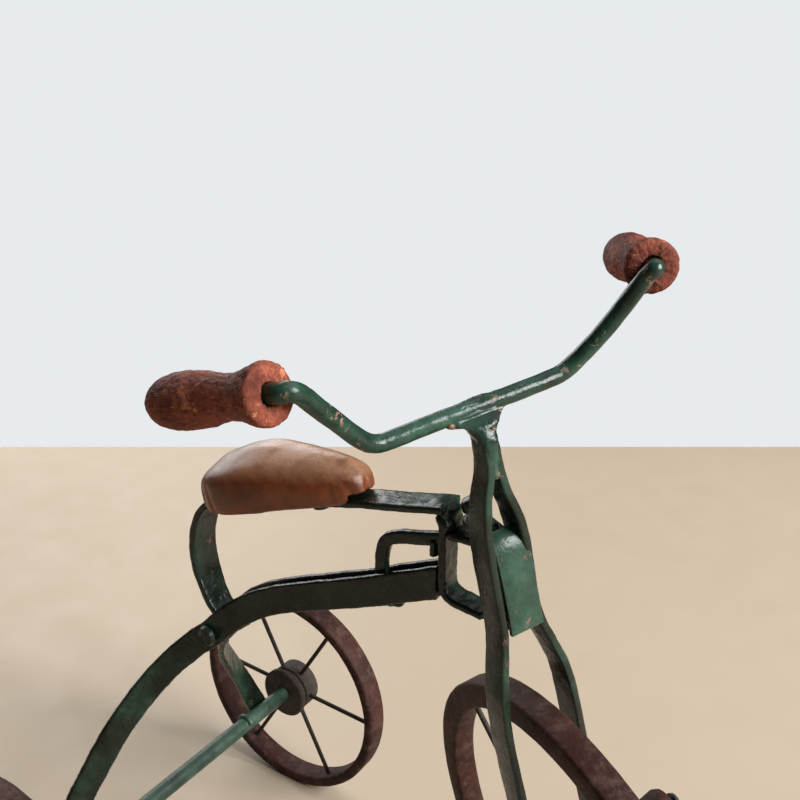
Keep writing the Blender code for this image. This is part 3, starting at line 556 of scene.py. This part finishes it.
middle = [Vector((-26.1, y, 147.3)) for y in (-12, -6, 0, 6, 12)]
rod_run = smooth_run(list(reversed(half_rod("right"))) + middle + half_rod("left"), 6)
verts, faces = loft(circle_rings(rod_run, ROD_R, ROD_SEG))
rod = piece("handlebar_rod", [front_point(v) for v in verts], faces, rod_green_painted_light, "steering",
            ("handlebar",))
roughen(rod, 0.10, 3.2)
print("rod points", len(rod.data.vertices))

# %% [markdown]
# The two fork blades are flat bars laid against each other at the top, where they are welded into one stem.
# They part above the crown, run down beside it and spread around the wheel. A section with round corners is
# carried down a smooth run, narrower at the stem.

# %% Fork blades
FORK_RUN = [(-24.9, 0.8, 145.4), (-23.2, 1.0, 142.0), (-22.2, 1.1, 138.0), (-21.9, 1.2, 134.5), (-21.7, 2.0, 131.0),
            (-21.1, 3.8, 126.0), (-20.2, 5.4, 119.5), (-19.1, 5.9, 112.0), (-18.4, 5.9, 104.0), (-17.4, 5.9, 96.0),
            (-16.2, 6.6, 89.5), (-14.4, 8.7, 82.0), (-12.9, 10.4, 75.0), (-11.9, 11.0, 66.0), (-10.2, 10.9, 52.0),
            (-6.4, 10.5, 30.0), (-2.2, 10.0, 12.0), (0.0, 9.8, 0.0), (0.6, 9.8, -5.0)]
CROWN_REACH = {"left": 4.6, "right": 5.9}
DRAWN_REACH = 5.9
BLADE_W = 8.6
BLADE_T = 2.25


def rounded_bar(width, thick, corner=0.62, steps=4):
    """A flat bar's section with round corners."""
    points = []
    for sx, sy, start in ((1, 1, 0), (-1, 1, 90), (-1, -1, 180), (1, -1, 270)):
        for k in range(steps + 1):
            a = math.radians(start + 90 * k / steps)
            points.append((sx * (width / 2 - corner) + corner * math.cos(a),
                           sy * (thick / 2 - corner) + corner * math.sin(a)))
    return points


for side, sign in (("left", 1), ("right", -1)):
    drift = DRAWN_REACH - CROWN_REACH[side]
    bent = []
    for x, y, z in FORK_RUN:
        share = min(1.0, max(0.0, (z - 30) / 45)) * min(1.0, max(0.0, (y - 1.2) / 2.7))
        bent.append((x - 0.6 * drift * share, sign * (y - drift * share), z))
    run = smooth_run(bent, 5)
    rings = []
    for i, q in enumerate(run):
        d = (run[min(i + 1, len(run) - 1)] - run[max(i - 1, 0)]).normalized()
        thin = Vector((0, sign, 0))
        thin = (thin - d * thin.dot(d)).normalized()
        wide = thin.cross(d)
        narrow = 0.70 + 0.30 * min(1.0, max(0.0, (137 - q.z) / 18)) - 0.36 * max(0.0, (q.z - 138.5) / 7)
        rings.append([front_point(q + wide * u * narrow + thin * v) for u, v in rounded_bar(BLADE_W, BLADE_T)])
    verts, faces = loft(rings)
    blade = piece(f"fork_blade_{side}", verts, faces, green, "steering", (f"fork_bar_{side}",))
    roughen(blade, 0.16, 4.0, 4)
print("blades made")

# %% [markdown]
# Each grip is a turned spindle: a thin flange, a waist, a swelling and a rounded end, bored for the rod. Its red
# paint is coarse and pitted, and the pits are real dents, so that the outline is uneven too.

# %% Turned grips
GRIP_L = 37.5
GRIP_R = 6.35
GRIP_SHAPE = [(0.02, 1.02), (0.055, 1.04), (0.12, 0.95), (0.2, 0.83), (0.3, 0.77), (0.4, 0.82), (0.52, 0.94),
              (0.64, 1.0), (0.75, 1.0), (0.85, 0.92), (0.92, 0.78), (0.965, 0.56), (0.98, 0.28)]
GRIP_SEG = 96
BORE_R = 2.4
BORE_DEPTH = 8.0


def turned(start, way, profile, seg):
    """Rings about an axis from a profile of (distance, radius)."""
    way = Vector(way).normalized()
    u = way.orthogonal().normalized()
    w = way.cross(u)
    turns = [2 * math.pi * k / seg for k in range(seg)]
    return [[Vector(start) + way * h + (u * math.cos(a) + w * math.sin(a)) * r for a in turns]
            for h, r in profile]


for side in ("left", "right"):
    shape = smooth_run([(t * GRIP_L, r * GRIP_R, 0) for t, r in GRIP_SHAPE], 6)
    profile = [(BORE_DEPTH, 0.02), (BORE_DEPTH, BORE_R), (0.5, BORE_R), (0.15, BORE_R + 0.3),
               (0.0, 3.4), (0.0, 4.4), (0.05, 5.4), (0.3, 6.1)]
    profile += [(p.x, p.y) for p in shape] + [(0.985 * GRIP_L, 0.9), (0.985 * GRIP_L, 0.05)]
    verts, faces = loft(turned(GRIP_START[side], GRIP_WAY[side], profile, GRIP_SEG))
    grip = piece(f"grip_wood_{side}", [front_point(v) for v in verts], faces, wood, "steering",
                 (f"grip_{side}",))
    roughen(grip, 0.16, 2.2, 4, pits=0.24, pit_size=0.7)
print("grips made")

# %% [markdown]
# The rims are thick bands with rounded shoulders. A finely turned band has no flat facets, and a broad, shallow
# noise leaves it as slightly out of round as a cast wheel is.

# %% Rims
RIM_CORNER = 1.1
RIM_SEG = 160


def band(name, node, centre, way, radius, depth, width, body):
    """A closed band with round shoulders, about the node's centre. Sizes are in millimetres."""
    e = RIM_CORNER
    w = width / 2
    low = radius - depth
    soft = e * 0.3
    profile = [(-w, low + e), (-w, radius - e), (-w + soft, radius - soft), (-w + e, radius), (w - e, radius),
               (w - soft, radius - soft), (w, radius - e), (w, low + e), (w - soft, low + soft), (w - e, low),
               (-w + e, low), (-w + soft, low + soft)]
    way = Vector(way).normalized()
    u = way.orthogonal().normalized()
    v = way.cross(u)
    rings = []
    for k in range(RIM_SEG):
        a = 2 * math.pi * k / RIM_SEG
        out_way = u * math.cos(a) + v * math.sin(a)
        rings.append([centre + (way * h + out_way * r) * MM for h, r in profile])
    verts, faces = loft(rings, closed=True)
    obj = piece(name, verts, faces, rim_red, body, (node,))
    roughen(obj, 0.10, 5.0, 3)


REAR_RIM = (45.0, 4.2, 9.5)
FRONT_RIM = (68.2, 7.8, 8.0)
for side in ("left", "right"):
    low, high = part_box(f"rear_rim_{side}")
    band(f"rear_band_{side}", f"rear_rim_{side}", (low + high) / 2, (0, 1, 0), *REAR_RIM, f"rear_wheel_{side}")
WHEEL_WAY = Vector(JOINTS["front_roll"]["axis"])
low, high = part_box("front_rim")
band("front_band", "front_rim", (low + high) / 2, WHEEL_WAY, *FRONT_RIM, "front_wheel")
print("bands made")

# %% [markdown]
# A weld is melted metal, so it never has a hard edge. Rough lumps are set along the joint, melted into one skin
# by a voxel remesh, and smoothed. The stem under the handlebar is such a weld: it closes the fork bars' tops
# and flares out along the rod on both sides.


# %% Melted welds
def add_lumps(bm, lumps):
    """lumps: (centre, half sizes, matrix) in world metres."""
    for centre, half, turn in lumps:
        for v in bmesh.ops.create_icosphere(bm, subdivisions=3, radius=1.0)["verts"]:
            v.co = centre + turn @ Vector((v.co.x * half[0], v.co.y * half[1], v.co.z * half[2]))


def one_skin(bm, voxel, factor, rounds):
    """Points and faces of everything in the mesh, joined by a voxel remesh and smoothed. This frees bm."""
    mesh = bpy.data.meshes.new("raw_skin")
    bm.to_mesh(mesh)
    bm.free()
    obj = bpy.data.objects.new("raw_skin", mesh)
    bpy.context.scene.collection.objects.link(obj)
    melt = obj.modifiers.new("melt", 'REMESH')
    melt.mode = 'VOXEL'
    melt.voxel_size = voxel * MM
    settle = obj.modifiers.new("settle", 'SMOOTH')
    settle.factor = factor
    settle.iterations = rounds
    bpy.context.view_layer.update()
    done = obj.evaluated_get(bpy.context.evaluated_depsgraph_get()).to_mesh()
    verts = [v.co.copy() for v in done.vertices]
    faces = [tuple(p.vertices) for p in done.polygons]
    bpy.data.objects.remove(obj, do_unlink=True)
    return verts, faces


def melted(name, lumps, voxel, finish, body, rounds):
    """A weld bead: lumps that are joined, remeshed, smoothed and roughened."""
    bm = bmesh.new()
    add_lumps(bm, lumps)
    verts, faces = one_skin(bm, voxel, 0.6, rounds)
    roughen(piece(name, verts, faces, finish, body), 0.12, 1.6, 3)


def lump(to_world, way_to_world, place, half):
    """One lump whose half sizes run along the three directions of the piece's own axes."""
    turn = Matrix([way_to_world(w) for w in ((1, 0, 0), (0, 1, 0), (0, 0, 1))]).transposed()
    return to_world(place), Vector(half) * MM, turn


# Level, middle, half depth and half width of the gusset, from the stem up into the rod.
GUSSET = [(131.6, -21.7, 2.9, 0.9), (133.0, -21.8, 3.15, 1.7), (135.0, -22.0, 3.2, 1.95),
          (138.5, -22.25, 3.35, 2.2), (141.2, -22.8, 3.4, 2.6), (143.0, -23.5, 3.2, 3.3),
          (144.4, -24.1, 3.3, 4.4), (145.4, -24.9, 3.0, 6.2), (146.2, -25.7, 2.25, 8.4), (147.0, -26.0, 2.1, 10.4),
          (147.8, -26.1, 1.95, 9.4), (148.9, -26.1, 1.5, 6.6), (149.7, -26.1, 0.7, 3.0)]
GUSSET_SEG = 40
rings = []
for z, x, deep, wide in smooth_run_4(GUSSET, 4):
    ring = []
    for k in range(GUSSET_SEG):
        a = 2 * math.pi * k / GUSSET_SEG
        c, d = math.cos(a), math.sin(a)
        ring.append(front_point((x + deep * math.copysign(abs(c) ** 0.6, c),
                                 wide * math.copysign(abs(d) ** 0.7, d), z)))
    rings.append(ring)
verts, faces = loft(rings)
gusset = piece("stem_gusset", verts, faces, rod_green_painted_light, "steering")
roughen(gusset, 0.28, 2.6, 3)

drip = [lump(front_point, front_way, (-25.2 + 0.1 * k, -4.6 - 0.7 * k, 144.9 + 0.25 * k), (1.3, 1.0, 0.9))
        for k in range(5)]
melted("stem_drip", drip, 0.25, rusty, "steering", 4)
print("gusset points", len(gusset.data.vertices))

# %% [markdown]
# The bars, the strip and the head were cut and bent by hand, and their corners are worn round. The solid's own
# skin is melted in the same way as a weld, and a low noise gives it the dents of the hammer.


# %% Forged bars and head
def forged(name, node, voxel, finish, body, lumps=(), rounds=4, dent=0.14, dent_size=4.5):
    """The node's skin and any weld lumps on it, remeshed, smoothed and dented. It stands for the node."""
    bm = bmesh.new()
    bm.from_mesh(NODES[node].data)
    add_lumps(bm, lumps)
    verts, faces = one_skin(bm, voxel, 0.5, rounds)
    made = piece(name, verts, faces, finish, body, (node,))
    made.data.shade_smooth()
    roughen(made, dent, dent_size, 4)


head_lumps = [lump(frame_point, frame_way, (112.6 + 0.6 * k, 0.0, 180.6 - 0.8 * k), (2.6, 4.6, 1.8))
              for k in range(3)]
head_lumps += [lump(frame_point, frame_way, (111.0, 0.0, 158.6 + 0.7 * k), (1.6, 3.4, 1.4)) for k in range(3)]
forged("forged_head", "head_bracket", 0.42, green, "frame", head_lumps, 12, 0.22, 3.0)
forged("forged_top_arm", "head_top_arm", 0.36, green, "frame", (), 10, 0.22, 2.4)
forged("forged_strut", "head_strut", 0.36, green, "frame", (), 6, 0.14, 3.0)
end_lumps = [lump(frame_point, frame_way, (111.2, 0.0, 183.4), (3.4, 4.5, 1.7)),
             lump(frame_point, frame_way, (113.6, 0.0, 182.0), (2.3, 4.3, 2.2)),
             lump(frame_point, frame_way, (114.6, 0.6, 179.6), (1.7, 3.6, 2.2))]
forged("forged_strip", "seat_strip", 0.42, green, "frame", end_lumps, 8)
forged("forged_crown", "fork_crown", 0.36, crown_green_painted_light, "steering", (), 4, 0.16, 3.5)
for side in ("left", "right"):
    forged(f"forged_bar_{side}", f"side_bar_{side}", 0.42, green, "frame", (), 4)
print("forged pieces made")

# %% [markdown]
# A thin plate faces the crown. It stands a little proud of the fork blades and hangs below the lower flange, so
# that it hides the pin's end.

# %% Crown plate
PLATE_RUN = [(-20.6, 0.3, 116.4), (-18.2, 0.3, 115.2), (-16.5, 0.3, 112.4), (-15.3, 0.3, 107.5),
             (-14.0, 0.3, 99.5), (-13.5, 0.3, 95.0), (-13.2, 0.3, 91.4)]
PLATE_W = 9.4
PLATE_T = 1.3
rings = []
run = smooth_run(PLATE_RUN, 6)
for i, q in enumerate(run):
    d = (run[min(i + 1, len(run) - 1)] - run[max(i - 1, 0)]).normalized()
    out_way = Vector((0, 1, 0)).cross(d)
    rings.append([front_point(q + Vector((0, 1, 0)) * u + out_way * v)
                  for u, v in rounded_bar(PLATE_W, PLATE_T, 0.3, 3)])
verts, faces = loft(rings)
plate = piece("crown_plate", verts, faces, crown_green_painted_light, "steering")
roughen(plate, 0.12, 4.0, 3)
print("plate points", len(plate.data.vertices))

# %% [markdown]
# The pin that the fork turns on has a round, hammered head, seen above the crown. It ends behind the crown
# plate, where nothing shows.

# %% Steering pin
PIN_LOW = 93.4
PIN_HEAD = 125.4
pin_shape = [(PIN_LOW, 0.9), (PIN_LOW + 0.3, 1.3), (PIN_HEAD, 1.3), (PIN_HEAD, 3.2), (PIN_HEAD + 0.4, 3.5),
             (PIN_HEAD + 2.6, 3.4), (PIN_HEAD + 3.4, 2.8), (PIN_HEAD + 3.8, 1.4)]
pin_rings = [[PIVOT + q * MM for q in ring] for ring in turned((0, 0, 0), STEER_AXIS, pin_shape, 40)]
verts, faces = loft(pin_rings)
pin_body = NODES["steering_pin"].parent.name.split(":")[1]
pin = piece("steering_pin_turned", verts, faces, green, pin_body, ("steering_pin",))
roughen(pin, 0.12, 2.0, 3)
print("pin points", len(pin.data.vertices))

# %% [markdown]
# Short beads join the strut and the head to the frame, and a collar of weld holds each rear leg on the axle.

# %% Beads along the frame
LEG_Y = 41.5
AXLE_HEIGHT = 45
COLLAR_R = 3.3
frame_lumps = {
    "strut_weld": [((88.8 + 2.2 * k, 0.0, 148.6 + 0.55 * k), (1.9, 2.0, 1.2)) for k in range(5)],
    "head_weld": [((109.2, 0.0, 169.2 + 0.9 * k), (1.3, 2.3, 0.9)) for k in range(5)],
}
for name, lumps in frame_lumps.items():
    made = [lump(frame_point, frame_way, place, half) for place, half in lumps]
    melted(name, made, 0.35, green, "frame", 3)
for side, sign in (("left", 1), ("right", -1)):
    y_inside = sign * (LEG_Y - 4.4)
    collar = []
    for k in range(9):
        a = math.pi * (0.15 + 0.7 * k / 8)
        place = (COLLAR_R * math.cos(a), y_inside, AXLE_HEIGHT + COLLAR_R * math.sin(a))
        collar.append(lump(frame_point, frame_way, place, (1.0, 1.2, 1.0)))
    melted(f"leg_weld_{side}", collar, 0.3, axle_green, "frame", 3)
print("welds made")

# %% [markdown]
# ## The stuffed saddle
# The saddle is a leather cover drawn tight over stuffing and tucked under at the bottom. It starts as a fine
# skin a little smaller than the solid. Cloth with inner pressure then swells it, held along the lower edge
# where the leather is nailed. It is swollen at fourteen times its size, and no point may travel further than
# a set limit. The gathered pleats at the back and at the nose are pressed in last, since a remesh erases them.

# %% The skin before it is swollen
SADDLE_MID = Vector((56.0, 0.0, 172.4))
SADDLE_TILT = -math.atan2(179.0 - 168.0, 86.0 - 37.0)
SADDLE_TURN = Matrix.Rotation(SADDLE_TILT, 3, 'Y')
OUTLINE = [(-25.0, 0.0), (-24.3, 5.0), (-21.8, 9.6), (-17.4, 13.0), (-11.0, 14.8), (-4.5, 14.8), (1.0, 14.0),
           (7.0, 12.8), (14.0, 11.6), (21.0, 10.4), (27.0, 8.8), (31.5, 6.4), (34.0, 3.2), (34.8, 0.0)]
RINGS = [(0.0, 1.2), (0.07, 0.4), (0.2, 0.0), (0.52, 0.0), (0.64, 0.3), (0.71, 1.1), (0.77, 2.6), (0.84, 5.0),
         (0.92, 7.6), (1.0, 10.2)]
SLIM = 0.5
SWELL = 14.0
HOLD_SHARE = 0.20
TRAVEL = 1.6
CLOTH_FRAMES = 20
SPINE_BACK, SPINE_FRONT = -15.0, 29.0


def saddle_levels(u):
    """The leather's lowest and highest level at a place along the saddle."""
    share = min(1.0, max(0.0, (u + 20) / 50))
    share = share * share * (3 - 2 * share)
    low = -1.8 + 1.6 * share
    high = 13.6 - 1.8 * share
    return low, high + 4.4 * math.exp(-((u - 4) / 18) ** 2)


half_line = smooth_run([(u, v, 0) for u, v in OUTLINE], 4)
line = [Vector((p.x, max(p.y, 0), 0)) for p in half_line]
line = line + [Vector((p.x, -p.y, 0)) for p in reversed(line[1:-1])]
rings = []
for t, inset in [(a.x, a.y) for a in smooth_run([(t, i, 0) for t, i in RINGS], 3)]:
    ring = []
    for p in line:
        spine = Vector((min(max(p.x, SPINE_BACK), SPINE_FRONT), 0, 0))
        reach = max(0.01, (spine - p).length)
        low, high = saddle_levels(p.x)
        drawn = (spine - p) * (min(inset + SLIM, reach * 0.78) / reach)
        ring.append(p + drawn + Vector((0, 0, low + min(max(t, 0), 1) * (high - SLIM - low))))
    rings.append(ring)
skin_verts, skin_faces = loft(rings)
print("skin points", len(skin_verts))

# %% [markdown]
# Pressure pushes every point of the skin outwards, and the cloth's own stiffness pulls it smooth. The travel is
# printed, to show how much of the form comes from this step.


# %% Swell the skin
def swollen(verts, faces):
    """Swell the skin by cloth pressure and return its new points and faces, in saddle millimetres."""
    mesh = bpy.data.meshes.new("skin")
    mesh.from_pydata([v * SWELL * MM for v in verts], [], faces)
    bm = bmesh.new()
    bm.from_mesh(mesh)
    bmesh.ops.recalc_face_normals(bm, faces=bm.faces)
    bm.to_mesh(mesh)
    bm.free()
    obj = bpy.data.objects.new("skin", mesh)
    bpy.context.scene.collection.objects.link(obj)
    remesh = obj.modifiers.new("even", 'REMESH')
    remesh.mode = 'VOXEL'
    remesh.voxel_size = 1.05 * SWELL * MM
    bpy.context.view_layer.update()
    graph = bpy.context.evaluated_depsgraph_get()
    even = bpy.data.meshes.new_from_object(obj.evaluated_get(graph))
    bpy.data.objects.remove(obj, do_unlink=True)
    start = [v.co.copy() for v in even.vertices]
    obj = bpy.data.objects.new("skin_cloth", even)
    bpy.context.scene.collection.objects.link(obj)
    hold = obj.vertex_groups.new(name="nailed")
    for v in even.vertices:
        low, high = saddle_levels(v.co.x / (SWELL * MM))
        level = v.co.z / (SWELL * MM)
        if level < low + (high - low) * HOLD_SHARE:
            hold.add([v.index], 1.0, 'REPLACE')
    cloth = obj.modifiers.new("stuffing", 'CLOTH').settings
    cloth.quality = 6
    cloth.use_pressure = True
    cloth.uniform_pressure_force = 4.0
    cloth.effector_weights.gravity = 0
    cloth.vertex_group_mass = "nailed"
    cloth.tension_stiffness = 25
    cloth.compression_stiffness = 25
    cloth.bending_stiffness = 2.0
    for frame_number in range(1, CLOTH_FRAMES + 1):
        bpy.context.scene.frame_set(frame_number)
    graph = bpy.context.evaluated_depsgraph_get()
    done = obj.evaluated_get(graph).to_mesh()
    ended = [v.co.copy() for v in done.vertices]
    far_most = TRAVEL * SWELL * MM
    moved = []
    for k, (a, b) in enumerate(zip(start, ended)):
        step = b - a
        if step.length > far_most:
            step = step.normalized() * far_most
        start[k] = a + step
        moved.append(step.length / (SWELL * MM))
    print("cloth travel mm: mean", round(sum(moved) / len(moved), 3), "most", round(max(moved), 3))
    bpy.context.scene.frame_set(1)
    bpy.data.objects.remove(obj, do_unlink=True)
    return [v / (SWELL * MM) for v in start], [tuple(p.vertices) for p in even.polygons]


verts, faces = swollen(skin_verts, skin_faces)

# %% [markdown]
# The swollen skin is smoothed and made finer. Then the gathers are drawn in, and a channel is left under the
# cover for the strip that carries it.

# %% Saddle cover
CHANNEL_HALF = 5.6
PAN_GAP = 2.6
PLEAT_IN = 0.95
PLEATS_BACK, PLEATS_NOSE = 15, 9


def pleat_depth(u, v, level):
    """How far the leather is drawn in by its gathers, deepest at the lower edge and gone at mid height."""
    low, high = saddle_levels(u)
    height = (level - low) / (high - low)
    fade = min(1.0, max(0.0, (0.62 - height) / 0.5))
    back = min(1.0, max(0.0, (-8.0 - u) / 8.0))
    nose = min(1.0, max(0.0, (u - 24.0) / 5.0))
    turn = math.atan2(v, u + 12.0) if u < 5 else math.atan2(v, u - 24.0)
    count = PLEATS_BACK if u < 5 else PLEATS_NOSE
    wave = 0.5 + 0.5 * math.cos(turn * count + 2.2 * noise.noise(Vector((turn * 2.0, level * 0.12, 3.0))))
    return fade * max(back, nose) * wave ** 2.5


saddle = piece("saddle_cover", [frame_point(SADDLE_MID + SADDLE_TURN @ v) for v in verts], faces, hide, "frame",
               ("saddle_leather",))
calm = saddle.modifiers.new("calm", 'SMOOTH')
calm.factor = 0.5
calm.iterations = 14
finer = saddle.modifiers.new("finer", 'SUBSURF')
finer.levels = finer.render_levels = 1
bpy.context.view_layer.update()
fine = bpy.data.meshes.new_from_object(saddle.evaluated_get(bpy.context.evaluated_depsgraph_get()))
saddle.modifiers.clear()
saddle.data = fine
back_turn = SADDLE_TURN.transposed()
for v in fine.vertices:
    at = back_turn @ ((v.co - BASE) / MM - SADDLE_MID)
    spine = Vector((min(max(at.x, SPINE_BACK), SPINE_FRONT), 0, at.z))
    inward = (spine - at).normalized() if (spine - at).length > 0.5 else Vector((0, 0, 0))
    at += inward * PLEAT_IN * pleat_depth(at.x, at.y, at.z)
    # The strip passes under the cover in a shallow channel.
    if abs(at.y) < CHANNEL_HALF and at.z < PAN_GAP:
        at.z = PAN_GAP
    v.co = frame_point(SADDLE_MID + SADDLE_TURN @ at)
fine.update()
roughen(saddle, 0.12, 8.0, 2)
saddle.data.shade_smooth()
print("saddle cover points", len(saddle.data.vertices))

# %% [markdown]
# ## The solids that stay
# Spokes, hubs, axles, caps, cranks, pedals and small pins are right as they are. Every solid gets its finish,
# and a small bevel rounds the edges of those that show, as many coats of paint would.

# %% Put a finish on each solid
EDGE_WIDTH = 0.28
EDGE_ANGLE = 38
n = Nodes("floor_paint")
floor_tone = n.ramp(n.noise(3, 3, 0.5), [(0.3, (0.44, 0.355, 0.26)), (0.7, (0.47, 0.38, 0.28))])
floor.data.materials.append(n.finish(floor_tone, n.ramp(n.noise(40, 2, 0.5), [(0.3, 0.55), (0.7, 0.7)]),
                                     n.noise(400, 2, 0.5), 0.0002, 0.2))


def coat(node, finish):
    for s in NODES[node].material_slots:
        s.material = finish


for node in NODES:
    if "spoke" in node:
        coat(node, wire_dark)
    elif "rim" in node:
        coat(node, rim_red)
    elif "hub" in node:
        coat(node, hub_dark)
    elif node in ("grip_left", "grip_right"):
        coat(node, wood)
    elif node in ("pedal_left", "pedal_right"):
        coat(node, rim_red)
    elif node == "saddle_leather":
        coat(node, hide)
    elif node == "rear_axle":
        coat(node, axle_green)
    elif node == "fork_crown":
        coat(node, crown_green_painted_light)
    elif node in ("saddle_pan", "saddle_screw_front", "saddle_screw_rear", "front_axle", "pedal_pin_left",
                  "pedal_pin_right"):
        coat(node, steel_dark)
    else:
        coat(node, green)
for node, obj in NODES.items():
    if "spoke" not in node and not obj.hide_render:
        soft_edge = obj.modifiers.new("soft_edge", 'BEVEL')
        soft_edge.width = EDGE_WIDTH * MM
        soft_edge.segments = 2
        soft_edge.limit_method = 'ANGLE'
        soft_edge.angle_limit = math.radians(EDGE_ANGLE)
        soft_edge.harden_normals = True
print("finished solids:", len(NODES))
